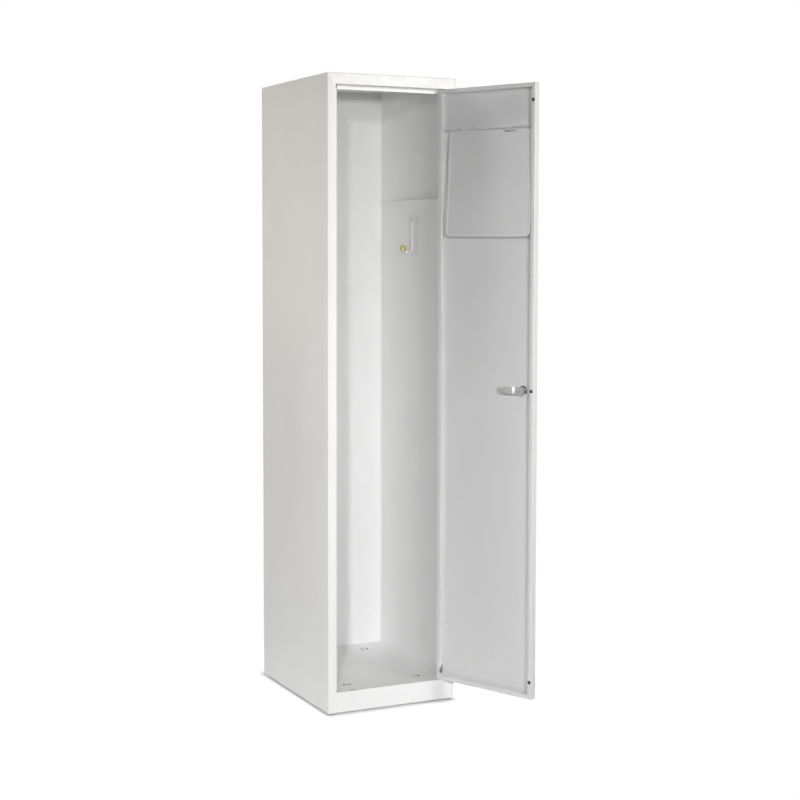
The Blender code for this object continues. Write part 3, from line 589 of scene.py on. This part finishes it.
def doorPan():
    # Loops round the door, one for each point of its folded edge, closed through the drop opening
    lips = [door["lipHinge"] - door["returnStart"], door["lipBottom"], door["lipLock"], door["lipTop"]]
    hinge, low, lock, high = [panProfile(lip) for lip in lips]
    depth = hinge[:, 1]
    count = len(hinge)
    margin, tall = door["notchMargin"], door["notchTall"]
    notchZ = doorLow + door["notchLow"] + np.concatenate([
        [-margin], door["notchRound"] * np.linspace(0, 1, 6),
        tall - door["notchRound"] * np.linspace(1, 0, 6), [tall + margin]])
    share = (notchZ - doorLow) / (doorHigh - doorLow)
    ends = (count // 2 - 1, count // 2)  # the two rows that run round the drop opening
    loops = []
    for k in range(count):
        edges = (hinge[k, 0], doorLow + low[k, 0], door["wide"] - lock[k, 0], doorHigh - high[k, 0])
        corner = max(door["bend"] - hinge[k, 0], 0)
        if k in ends:
            edges = (drop["start"], drop["low"], drop["end"], drop["high"])
            corner = drop["round"]
        loop = loopRect(*edges, corner)
        z = notchZ if k not in ends else edges[1] + corner + share * (edges[3] - edges[1] - 2 * corner)
        isLip = k in (0, count - 1)
        u = edges[0] - notchBite(z) if isLip else np.full(len(z), edges[0])
        loops.append(np.vstack([loop, np.stack([u, z], 1)[::-1]]))
    grid = np.stack(loops)
    w = np.repeat(depth, grid.shape[1])
    points = doorPoint(grid[..., 0].ravel(), w, grid[..., 1].ravel())
    return points, gridQuads(count, grid.shape[1], wrapRows=True, wrapCols=True)


def hingeReturns():
    # The hinge lip's inner edge, turned back towards the skin above and below the notch
    mid = sheet / 2
    lip = door["lipHinge"]
    corners = [(lip - door["returnStart"], door["thick"] - mid), (lip - mid, door["thick"] - mid)]
    corners += [(lip - mid, door["thick"] - door["lipReturn"])]
    ring = sheetRing(bentLine(corners, door["lipBend"] - mid), sheet)
    notchLow = doorLow + door["notchLow"]
    spans = [(doorLow + door["lipBottom"] - sheet, notchLow)]
    spans += [(notchLow + door["notchTall"], doorHigh - door["lipTop"] + sheet)]
    return [drawSheet(ring, span, doorPoint) for span in spans]


doorNodes = ["door_skin"] + [f"door_{edge}_channel" for edge in ("hinge", "lock", "top", "bottom")]
addPiece("door_pan", [doorPan()] + hingeReturns(), shadedDoorCoat, "door", doorNodes)
print("door pan made")


# Pivot blocks in the hinge channel

block = dict(inset=0.0013, edge=0.0007, corner=0.0009, body=0.0155, bore=0.0033, boreTurn=0.1)
block.update(tongue=0.0022, tongueWide=0.0078, knob=0.0125, knobDeep=0.006, knobTall=0.008, knobDrop=0.004)


def pivotBlock(low, high, body):
    # Moulded plug: a rounded rectangle carried up a body with the pin's blind bore, and on up a tongue and a
    # knob where the body stops short of the top; each outline is its near depth and its far edge
    edge, inset = block["edge"], block["inset"]
    face = door["thick"] - inset
    full = (inset, door["lipHinge"] - inset)
    slim = (face - block["tongue"], block["tongueWide"])
    knob = (face - block["knobDeep"], block["knob"])
    shoulder = high - block["knobTall"]
    rows = [(low, full, edge), (low + edge, full, 0), (body - edge, full, 0), (body, full, edge)]
    if body < shoulder:
        rows += [(body, slim, 0), (shoulder, slim, 0), (shoulder, knob, edge), (shoulder + edge, knob, 0)]
        rows += [(high - edge, knob, 0), (high, knob, edge)]
    loops = [loopRect(inset + i, near + i, far - i, face - i, block["corner"]) for z, (near, far), i in rows]
    count = len(loops[0])
    angle = np.linspace(math.pi, 3 * math.pi, count, endpoint=False) + block["boreTurn"]
    way = np.stack([np.cos(angle), np.sin(angle)], 1)
    middle = np.array([[door["pinInset"], door["pinDepth"]]])
    bore = middle + block["bore"] * way
    end = np.repeat(loops[-1].mean(axis=0)[None], count, 0)
    grid = np.stack([np.repeat(middle, count, 0), bore, bore] + loops + [end])
    z = np.array([body - edge, body - edge, low] + [row[0] for row in rows] + [rows[-1][0]])
    points = doorPoint(grid[..., 0].ravel(), grid[..., 1].ravel(), np.repeat(z, count))
    return points, gridQuads(len(grid), count, wrapCols=True)


for level in ("low", "top"):
    node = "pivot_block_" + level
    low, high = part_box(node)[0].z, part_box(node)[1].z
    if level == "low":
        blockShell = pivotBlock(low, high - block["knobDrop"], low + block["body"])
    else:
        blockShell = pivotBlock(low, high, high)
    addPiece("pivot_plug_" + level, [blockShell], whitePlastic, "door", [node])


# Pivot pins

pivot = dict(pin=0.003, collar=0.0055, chamfer=0.0006, headTall=0.003, headGap=0.0002)


def pivotPin(node, collarLow, collarHigh):
    # Turned pin with chamfered ends and a collar
    low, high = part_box(node)[0].z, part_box(node)[1].z
    r, rim, c = pivot["pin"], pivot["collar"], pivot["chamfer"]
    profile = [(0, low), (r - c, low), (r, low + c), (r, collarLow)]
    profile += [(rim - c / 2, collarLow), (rim, collarLow + c / 2)]
    profile += [(rim, collarHigh - c / 2), (rim - c / 2, collarHigh), (r, collarHigh)]
    profile += [(r, max(high - c, collarHigh)), (r - c, high), (0, high)]

    def place(p, q, a):
        return np.stack([pinX + p, pinY + q, a], -1)

    return lathe(profile, place, 32)


pinCollar = floorTop + clear
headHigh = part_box("upper_pivot_pin")[1].z
pins = [("lower", pinCollar, pinCollar + sheet),
        ("upper", headHigh - pivot["headTall"], headHigh - pivot["headGap"])]
for level, collarLow, collarHigh in pins:
    node = level + "_pivot_pin"
    pinShell = pivotPin(node, collarLow, collarHigh)
    addPiece("pivot_pin_" + level, [pinShell], plainSteel, "carcass", [node])


# Buffers on the free lip

buffer = dict(radius=0.005, reach=0.0032, inset=0.0055, rim=0.0008)


def bufferButton(z):
    # Domed rubber button: a low rim, then a quarter ellipse up to the crown
    turn = np.linspace(0, math.pi / 2, 10)
    start = door["thick"] + clear
    rim = buffer["rim"]
    dome = buffer["reach"] - clear - rim
    radius = np.concatenate([[0, buffer["radius"]], buffer["radius"] * np.cos(turn)])
    along = np.concatenate([[start, start], start + rim + dome * np.sin(turn)])

    def place(p, q, a):
        return doorPoint(door["wide"] - buffer["inset"] + p, a, z + q)

    return lathe(np.stack([radius, along], 1), place, 32)


for level in ("low", "middle", "high"):
    low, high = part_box("buffer_" + level)
    button = bufferButton((low.z + high.z) / 2)
    addPiece("stop_button_" + level, [button], blackRubber, "door", ["buffer_" + level])


# Flap hinge rail, pin and flap

rail = dict(axisDepth=0.0122, tall=0.022, end=0.001, tabWide=0.038, tabPitch=0.152, tabGap=0.0035)
rail.update(pin=0.0015, pinFlat=0.7, pinDome=0.4, curlEnd=-140)
rail.update(curl=rail["pin"] + clear + sheet / 2)
tabMiddles = [door["wide"] / 2 + k * rail["tabPitch"] / 2 for k in (-1, 1)]
railStart = door["lipHinge"] + rail["end"]
railEnd = door["wide"] - door["lipLock"] - rail["end"]


def curlLine(centre, radius, start, end, steps=14):
    # An arc about the centre, from the start angle to the end angle in degrees
    turn = np.radians(np.linspace(start, end, steps))
    return np.stack([centre[0] + radius * np.cos(turn), centre[1] + radius * np.sin(turn)], 1)


def hingeRail():
    # Leaf on the skin, ledge and a bead curled round the pin; the bead is left out where the tabs turn
    leaf = sheet + clear + sheet / 2
    head = (leaf, flapAxisZ + rail["tall"])
    z = flapAxisZ + rail["curl"]
    axis = (rail["axisDepth"], flapAxisZ)
    ledge = bentLine([head, (leaf, z), (rail["axisDepth"] - sheet, z)], sheet)
    bead = np.vstack([ledge[:-1], curlLine(axis, rail["curl"], 90, rail["curlEnd"])])
    short = rail["axisDepth"] - rail["curl"] - sheet / 2 - rail["tabGap"]
    stub = bentLine([head, (leaf, z), (short, z)], sheet)
    reach = rail["tabWide"] / 2 + rail["tabGap"]
    edges = [railStart] + [m + s * reach for m in tabMiddles for s in (-1, 1)] + [railEnd]
    shells = []
    for k, span in enumerate(zip(edges, edges[1:])):
        ring = sheetRing(stub if k % 2 else bead, sheet)
        shells.append(drawSheet(ring, span, doorAlongU))
    return shells


def hingePin():
    # Thin wire pin with rounded ends
    r = rail["pin"]
    flat, dome = r * rail["pinFlat"], r * rail["pinDome"]
    profile = [(0, railStart), (flat, railStart), (r, railStart + dome)]
    profile += [(r, railEnd - dome), (flat, railEnd), (0, railEnd)]

    def place(p, q, a):
        return doorPoint(a, rail["axisDepth"] + p, flapAxisZ + q)

    return lathe(profile, place, 20)


addPiece("flap_rail", hingeRail(), shadedDoorCoat, "door", ["flap_hinge_rail"])
addPiece("flap_pin", [hingePin()], plainSteel, "door", ["flap_hinge_pin"])

flap = dict(wide=0.3022, middle=0.1793, tall=0.3039, top=0.0070, offset=0.0095, lean=math.radians(3.4))
flap.update(round=0.017, leastRound=0.002, topRound=0.0025, leastTopRound=0.0004)
flap.update(topInset=0.0012, cornerSteps=8)
flap.update(hem=0.0075, hemEnd=[(-0.0002, 2), (0, 1.85), (0.0003, 1)])  # inset past the hem, depth in sheets
flap.update(tabStep=0.0015, tabRoot=0.006, tabNudge=0.0001, tabBend=0.0011, tabCurl=-50)


def flapPoint(s, d, v):
    # s along the hinge line, d off the axis towards the room, v up; the sheet leans under its own weight
    c, n = math.cos(flap["lean"]), math.sin(flap["lean"])
    return doorPoint(flap["middle"] + s, rail["axisDepth"] + c * d - n * v, flapAxisZ + n * d + c * v)


def flapSheet():
    # Sheet with its edge folded over into a flat hem at both sides and the foot
    halfWide = flap["wide"] / 2
    low, high = -flap["tall"], -flap["top"]
    outer = -flap["offset"] - sheet / 2
    r = sheet
    turn = np.linspace(-math.pi / 2, math.pi / 2, 7)
    hemInset, hemDepth = np.array(flap["hemEnd"]).T
    inset = np.concatenate([r * (1 - np.cos(turn)), flap["hem"] + hemInset])
    depth = np.concatenate([outer + r * (1 + np.sin(turn)), outer + hemDepth * sheet])
    steps = flap["cornerSteps"]
    split = 2 * (steps + 1)  # the two corners of the foot come first
    loops = []
    for i in inset:
        edges = (-halfWide + i, low + i, halfWide - i, high - min(i, flap["topInset"]))
        foot = loopRect(*edges, max(flap["round"] - i, flap["leastRound"]), steps)[:split]
        head = loopRect(*edges, max(flap["topRound"] - i, flap["leastTopRound"]), steps)[split:]
        loops.append(np.vstack([foot, head]))
    grid = np.stack(loops)
    count = grid.shape[1]
    middle = np.array([[0, (low + high) / 2]])
    ends = np.broadcast_to(middle, grid[:1].shape)
    grid = np.concatenate([ends, grid, ends])
    depth = np.concatenate([depth[:1], depth, depth[-1:]])
    points = flapPoint(grid[..., 0].ravel(), np.repeat(depth, count), grid[..., 1].ravel())
    return points, gridQuads(len(depth), count, wrapCols=True)


def flapTabs():
    # Two tongues of the sheet, stepped up and curled round the pin
    curl, plane = rail["curl"], -flap["offset"]
    step = -curl - flap["tabStep"]
    root = -flap["top"] - flap["tabRoot"]
    corners = [(plane, root), (plane, step), (-curl - flap["tabNudge"], step), (-curl, 0)]
    rise = bentLine(corners, flap["tabBend"])
    line = np.vstack([rise[:-1], curlLine((0, 0), curl, 180, flap["tabCurl"])])
    ring = sheetRing(line, sheet)
    reach = rail["tabWide"] / 2

    def place(d, v, s):
        return flapPoint(s, d, v)

    spans = [(m - flap["middle"] - reach, m - flap["middle"] + reach) for m in tabMiddles]
    return [drawSheet(ring, span, place) for span in spans]


addPiece("flap_leaf", [flapSheet()] + flapTabs(), shadedDoorCoat, "flap", ["drop_flap"])
print("flap made")


# Cam lock

lock = dict(edge=0.047, body=0.009, behind=0.004, rose=0.013, roseThick=0.002, roseEdge=0.0012)
lock.update(pitch=0.00125, threadDeep=0.00045, threadStart=0.0015, threadRows=120, bodyEdge=0.0008)
lock.update(plug=0.005, plugGap=0.0002, plugEdge=0.0003, boreMouth=0.0004, boreEnd=0.0006)
lock.update(keyLong=0.007, keyWide=0.0012, keyDeep=0.003)
lock.update(nut=0.0142, nutThick=0.005, nutGap=0.0001, nutCrown=0.0002, nutEdge=0.0007)
lock.update(camWide=0.0206, camLong=0.051, camTip=0.0077, camThick=0.002, camBend=0.0125, camCrank=0.005)
lock.update(camEdge=0.0004, camFold=0.0013)
lock.update(screwHead=0.0045, screwCrown=0.0026, screwDome=0.0016, shank=0.002, shankDeep=0.005)
lock.update(crossHalf=0.0005, crossReach=0.0026, crossDeep=0.0012, crossRim=0.0005)
lockU = door["wide"] - lock["edge"]
lockZ = joints["lock_turn"]["pos_m"][2]
lockEnd = door["thick"] + lock["behind"]


def lockPlace(p, q, a):
    return doorPoint(lockU + p, a, lockZ + q)


def lockBarrel():
    # Rose outside, then a threaded body: the radius follows a zigzag that climbs one pitch a turn
    face = -clear
    outside = face - lock["roseThick"]
    bore = lock["plug"] + lock["plugGap"]
    roseEdge, bodyEdge, rows = lock["roseEdge"], lock["bodyEdge"], lock["threadRows"]
    mouth, end = lock["boreMouth"], lock["boreEnd"]
    turn = np.linspace(0, math.pi / 2, 6)
    rose = np.stack([lock["rose"] - roseEdge * (1 - np.sin(turn)),
                     outside + roseEdge * (1 - np.cos(turn))], 1)
    along = np.linspace(face + lock["threadStart"], lockEnd - bodyEdge, rows)
    profile = np.vstack([[(bore, lockEnd - end), (bore, outside + mouth), (bore + mouth, outside)], rose,
                         [(lock["rose"], face), (lock["body"], face)],
                         np.stack([np.full(rows, lock["body"]), along], 1),
                         [(lock["body"] - bodyEdge, lockEnd), (bore + end, lockEnd)]])
    radius, a = profile.T
    steps = 48
    angle = np.linspace(0, 2 * math.pi, steps, endpoint=False)
    row = np.arange(len(a))
    isThread = (row >= len(a) - rows - 2) & (row < len(a) - 2)
    climb = a[:, None] / lock["pitch"] + angle / (2 * math.pi)
    groove = lock["threadDeep"] * np.abs(2 * (climb % 1) - 1)
    r = radius[:, None] - np.where(isThread[:, None], groove, 0)
    points = lockPlace((r * np.cos(angle)).ravel(), (r * np.sin(angle)).ravel(), np.repeat(a, steps))
    return points, gridQuads(len(a), steps, wrapRows=True, wrapCols=True)


def lockNut():
    # Hexagon: the flats come from the angle, and a cone takes its corners off at both faces
    start = sheet + clear
    end = start + lock["nutThick"]
    edge = lock["nutEdge"]
    steps = 96
    angle = np.linspace(0, 2 * math.pi, steps, endpoint=False)
    flat = lock["nut"] * math.cos(math.pi / 6)
    hexagon = flat / np.cos((angle + math.pi / 6) % (math.pi / 3) - math.pi / 6)
    bore = np.full(steps, lock["body"] + lock["nutGap"])
    crown = np.minimum(hexagon, flat + lock["nutCrown"])
    rows = np.stack([bore, crown, hexagon, hexagon, crown, bore])
    a = np.array([start, start, start + edge, end - edge, end, end])
    points = lockPlace((rows * np.cos(angle)).ravel(), (rows * np.sin(angle)).ravel(), np.repeat(a, steps))
    return points, gridQuads(len(a), steps, wrapRows=True, wrapCols=True)


def lockPlug():
    # Plug with a key slot: the outer face sinks where the slot's rectangle is
    outside, edge, rings = -lock["roseThick"], lock["plugEdge"], 34
    face = np.stack([np.linspace(0, lock["plug"] - edge, rings), np.full(rings, outside)], 1)
    profile = np.vstack([face, [(lock["plug"], outside + edge), (lock["plug"], lockEnd), (0, lockEnd)]])

    def slot(p, q, a):
        inside = (np.abs(p) < lock["keyLong"] / 2) & (np.abs(q) < lock["keyWide"] / 2)
        return np.where(inside & (a < outside + edge / 2), lock["keyDeep"], 0)

    return lathe(profile, lockPlace, 160, slot)


def camPlate():
    # Cranked plate: a rectangle with small round edges carried along the bent middle line, between a round
    # head and a round tip
    radius, tip, length = lock["camWide"] / 2, lock["camTip"], lock["camLong"]
    halfThick, edge = lock["camThick"] / 2, lock["camEdge"]
    bend, crank = lock["camBend"], lock["camCrank"]
    corners = [(-radius, 0), (bend, 0), (bend + crank, crank), (length, crank)]
    line = bentLine(corners, lock["camFold"], 6)
    ends = np.concatenate([-radius * np.cos(np.linspace(0, math.pi / 2, 16)[1:]),
                           length - tip + tip * np.sin(np.linspace(0, math.pi / 2, 14)[:-1])])
    s = np.sort(np.concatenate([line[:, 0], ends]))
    w = np.interp(s, line[:, 0], line[:, 1])
    heading = np.gradient(np.stack([s, w], 1), axis=0)
    heading /= np.linalg.norm(heading, axis=1)[:, None]
    head = np.sqrt(np.clip(radius ** 2 - np.clip(-s, 0, radius) ** 2, 0, None))
    past = np.clip(s - (length - tip), 0, tip)
    width = np.maximum(head - tip + np.sqrt(np.clip(tip ** 2 - past ** 2, 0, None)), edge)
    turn = (np.linspace(0, math.pi / 2, 4) + np.arange(4)[:, None] * math.pi / 2).ravel()
    signAcross = np.repeat([1, -1, -1, 1], 4)
    signDeep = np.repeat([1, 1, -1, -1], 4)
    across = (width[:, None] - edge) * signAcross + edge * np.cos(turn)
    deep = (halfThick - edge) * signDeep + edge * np.sin(turn)
    along = s[:, None] - heading[:, 1:] * deep
    out = lockEnd + clear + halfThick + w[:, None] + heading[:, :1] * deep
    across = np.vstack([0 * across[:1], across, 0 * across[:1]])
    along = np.vstack([0 * along[:1] + s[0], along, 0 * along[:1] + s[-1]])
    out = np.vstack([0 * out[:1] + out[0].mean(), out, 0 * out[:1] + out[-1].mean()])
    points = lockPlace(-along.ravel(), across.ravel(), out.ravel())
    return points, gridQuads(len(along), len(turn), wrapCols=True)


def camScrew():
    # Pan head with a cross recess, and its shank down into the plug
    head = lockEnd + clear + lock["camThick"] + clear
    crown = head + lock["screwCrown"]
    turn = np.linspace(0, math.pi / 2, 26)
    dome = np.stack([lock["screwHead"] * np.sin(turn), crown - lock["screwDome"] * (1 - np.cos(turn))], 1)
    shank, end = lock["shank"], lockEnd - lock["shankDeep"]
    profile = np.vstack([dome, [(lock["screwHead"], head), (shank, head), (shank, end), (0, end)]])

    def cross(p, q, a):
        p, q = np.abs(p), np.abs(q)
        thin, reach = lock["crossHalf"], lock["crossReach"]
        arm = ((p < thin) & (q < reach)) | ((q < thin) & (p < reach))
        return np.where(arm & (a > head + lock["crossRim"]), -lock["crossDeep"], 0)

    return lathe(profile, lockPlace, 120, cross)


addPiece("lock_body", [lockBarrel()], brightChrome, "door", ["lock_barrel"], 40)
addPiece("lock_ring_nut", [lockNut()], plainSteel, "door", ["lock_nut"])
addPiece("key_plug", [lockPlug()], brightChrome, "lock_cam", ["lock_plug"])
addPiece("cam_plate", [camPlate()], satinNickel, "lock_cam", ["lock_cam"], 50)
addPiece("cam_fixing", [camScrew()], plainSteel, "lock_cam", ["cam_screw"])
print("lock made")


# Stage, light and camera

# contact is the width of the painted shade band round the cabinet's foot.
stage = dict(size=12, lines=9, fill=0, tone=0.92, lift=0.84, inset=0.010, contact=0.065, near=0.25, far=0.60)


def seenRays(tree):
    # 1 for rays from the camera and for mirrored and refracted ones, 0 for the light that bounces
    path = tree.nodes.new("ShaderNodeLightPath")
    value = path.outputs["Is Camera Ray"]
    for kind in ("Is Glossy Ray", "Is Transmission Ray"):
        either = tree.nodes.new("ShaderNodeMath")
        either.operation = "MAXIMUM"
        tree.links.new(value, either.inputs[0])
        tree.links.new(path.outputs[kind], either.inputs[1])
        value = either.outputs[0]
    return value


def glowShader(tree, strength):
    glow = tree.nodes.new("ShaderNodeEmission")
    if isinstance(strength, float):
        glow.inputs["Strength"].default_value = strength
    else:
        tree.links.new(strength, glow.inputs["Strength"])
    return glow.outputs[0]


def scaledNode(tree, value, other):
    times = tree.nodes.new("ShaderNodeMath")
    times.operation = "MULTIPLY"
    tree.links.new(value, times.inputs[0])
    tree.links.new(other, times.inputs[1])
    return times.outputs[0]


def floorMaterial():
    # Matt white at the foot of the cabinet, where its real shadow shows under a band of painted shade; a glow
    # lifts it over the next few centimetres, and farther out it goes over to plain white
    material, tree, shader, coords = newFinish("studio_floor")
    tree.nodes.remove(shader)
    seen = seenRays(tree)
    off = coords.outputs["Object"]
    spans = [("SUBTRACT", (0, (front + back) / 2, 0)), ("ABSOLUTE", None)]
    inside = stage["inset"]
    spans += [("SUBTRACT", (half - inside, (back - front) / 2 - inside, 1)), ("MAXIMUM", (0, 0, 0))]
    spans += [("MULTIPLY", (2, 1, 1)), ("LENGTH", None)]
    for kind, other in spans:  # distance from the cabinet's footprint, counted double at its sides
        step = tree.nodes.new("ShaderNodeVectorMath")
        step.operation = kind
        tree.links.new(off, step.inputs[0])
        if other:
            step.inputs[1].default_value = other
        off = step.outputs["Value" if kind == "LENGTH" else "Vector"]
    away = rangeNode(tree, off, 0, 1, stage["near"], stage["far"])
    # Painted shade: the glow fades to nothing at the footprint, counted double at the sides, so the floor
    # darkens in a band round the cabinet's foot whatever the light; the diffuse part adds the real shadow.
    lift = rangeNode(tree, off, 0, stage["lift"], 0, stage["contact"])
    diffuse = tree.nodes.new("ShaderNodeBsdfDiffuse")
    diffuse.inputs["Color"].default_value = (stage["tone"],) * 3 + (1,)
    lit = tree.nodes.new("ShaderNodeAddShader")
    tree.links.new(diffuse.outputs[0], lit.inputs[0])
    tree.links.new(glowShader(tree, scaledNode(tree, seen, lift)), lit.inputs[1])
    blend = tree.nodes.new("ShaderNodeMixShader")
    tree.links.new(scaledNode(tree, seen, away), blend.inputs["Fac"])
    tree.links.new(lit.outputs[0], blend.inputs[1])
    tree.links.new(glowShader(tree, 1.0), blend.inputs[2])
    tree.links.new(blend.outputs[0], tree.nodes["Material Output"].inputs["Surface"])
    return material


def studioFloor():
    # A flat grid under the cabinet
    reach = stage["size"]
    lines = stage["lines"]
    line = np.linspace(-reach, reach, lines)
    x, y = np.meshgrid(line, line)
    points = np.stack([x.ravel(), y.ravel(), np.zeros(x.size)], -1)
    mesh = bpy.data.meshes.new("studio_floor")
    mesh.from_pydata(points.tolist(), [], gridQuads(lines, lines).tolist())
    mesh.materials.append(floorMaterial())
    floor = bpy.data.objects.new("studio_floor", mesh)
    bpy.context.scene.collection.objects.link(floor)


def studioWorld():
    # White to the camera and to reflections, and the fill for the light that bounces
    world = bpy.data.worlds.new("studio")
    world.use_nodes = True
    tree = world.node_tree
    shader = tree.nodes["Background"]
    power = tree.nodes.new("ShaderNodeMapRange")
    power.inputs["To Min"].default_value = stage["fill"]
    power.inputs["To Max"].default_value = 1
    tree.links.new(seenRays(tree), power.inputs["Value"])
    shader.inputs["Color"].default_value = (1, 1, 1, 1)
    tree.links.new(power.outputs["Result"], shader.inputs["Strength"])
    bpy.context.scene.world = world


def areaLamp(name, spot, aim, size, power, tint=(1, 1, 1), spread=180, wide=None):
    data = bpy.data.lights.new(name, "AREA")
    data.shape = "ELLIPSE"
    data.size, data.size_y = wide or size, size
    data.energy = power
    data.color = tint
    data.spread = math.radians(spread)
    lamp = bpy.data.objects.new(name, data)
    bpy.context.scene.collection.objects.link(lamp)
    lamp.location = spot
    way = np.array(aim, float) - np.array(spot, float)
    tilt = math.acos(-way[2] / np.linalg.norm(way))
    lamp.rotation_euler = (tilt, 0, math.atan2(way[1], way[0]) - math.pi / 2)


view = dict(spot=(-1.9974, -4.1682, 1.3126), yaw=25.971, pitch=3.8712, roll=0.1027)
view.update(sensor=36, lens=73.283, shift=-0.05)


def photoCamera():
    # Looks along the yaw and pitch of the photograph, rolled about that line
    data = bpy.data.cameras.new("camera")
    data.sensor_width = view["sensor"]
    data.lens = view["lens"]
    data.shift_y = view["shift"]
    camera = bpy.data.objects.new("camera", data)
    bpy.context.scene.collection.objects.link(camera)
    yaw, pitch, roll = np.radians([view["yaw"], view["pitch"], view["roll"]])
    ahead = np.array([math.sin(yaw) * math.cos(pitch), math.cos(yaw) * math.cos(pitch), -math.sin(pitch)])
    right = np.array([math.cos(yaw), -math.sin(yaw), 0])
    up = np.cross(right, ahead)
    tilted = right * math.cos(roll) + up * math.sin(roll)
    turn = np.stack([tilted, np.cross(tilted, ahead), -ahead], 1)
    camera.rotation_euler = Matrix(turn.tolist()).to_euler()
    camera.location = view["spot"]
    bpy.context.scene.camera = camera


studioFloor()
studioWorld()
areaLamp("front_lamp", (-0.9, -5.1, 1.58), (0.0, 0.0, 1.0), 0.26, 9.7, spread=60, wide=0.8)
areaLamp("key_lamp", (-2.75, -4.9, 2.2), (0.05, 0.1, 0.1), 0.26, 6.6, spread=44)
areaLamp("left_lamp", (-5.0, 3.2, 0.4), (-0.2, 0.1, 0.1), 1.8, 35, (1, 0.99, 0.975), 110)
areaLamp("left_front_lamp", (-2.6, 0.88, 2.5), (0.25, -0.12, 0.85), 0.5, 2.3, spread=80)
areaLamp("left_top_lamp", (-2.2, 1.6, 1.9), (-0.2, 0.25, 1.45), 0.8, 0.66, (1, 0.80, 0.42), 50)
areaLamp("rear_lamp", (3.2, 1.9, 1.6), (0.2, 0.2, 0.9), 2.0, 36)
areaLamp("right_top_lamp", (1.65, -3.1, 2.4), (0.0, -0.02, 1.75), 0.4, 5.0, (1, 0.98, 0.92), 60)
areaLamp("right_low_lamp", (1.65, -3.1, 1.0), (0.0, -0.02, 0.5), 0.4, 1.6, spread=60)
photoCamera()
bpy.context.scene.view_settings.view_transform = "Standard"

print("stage set")
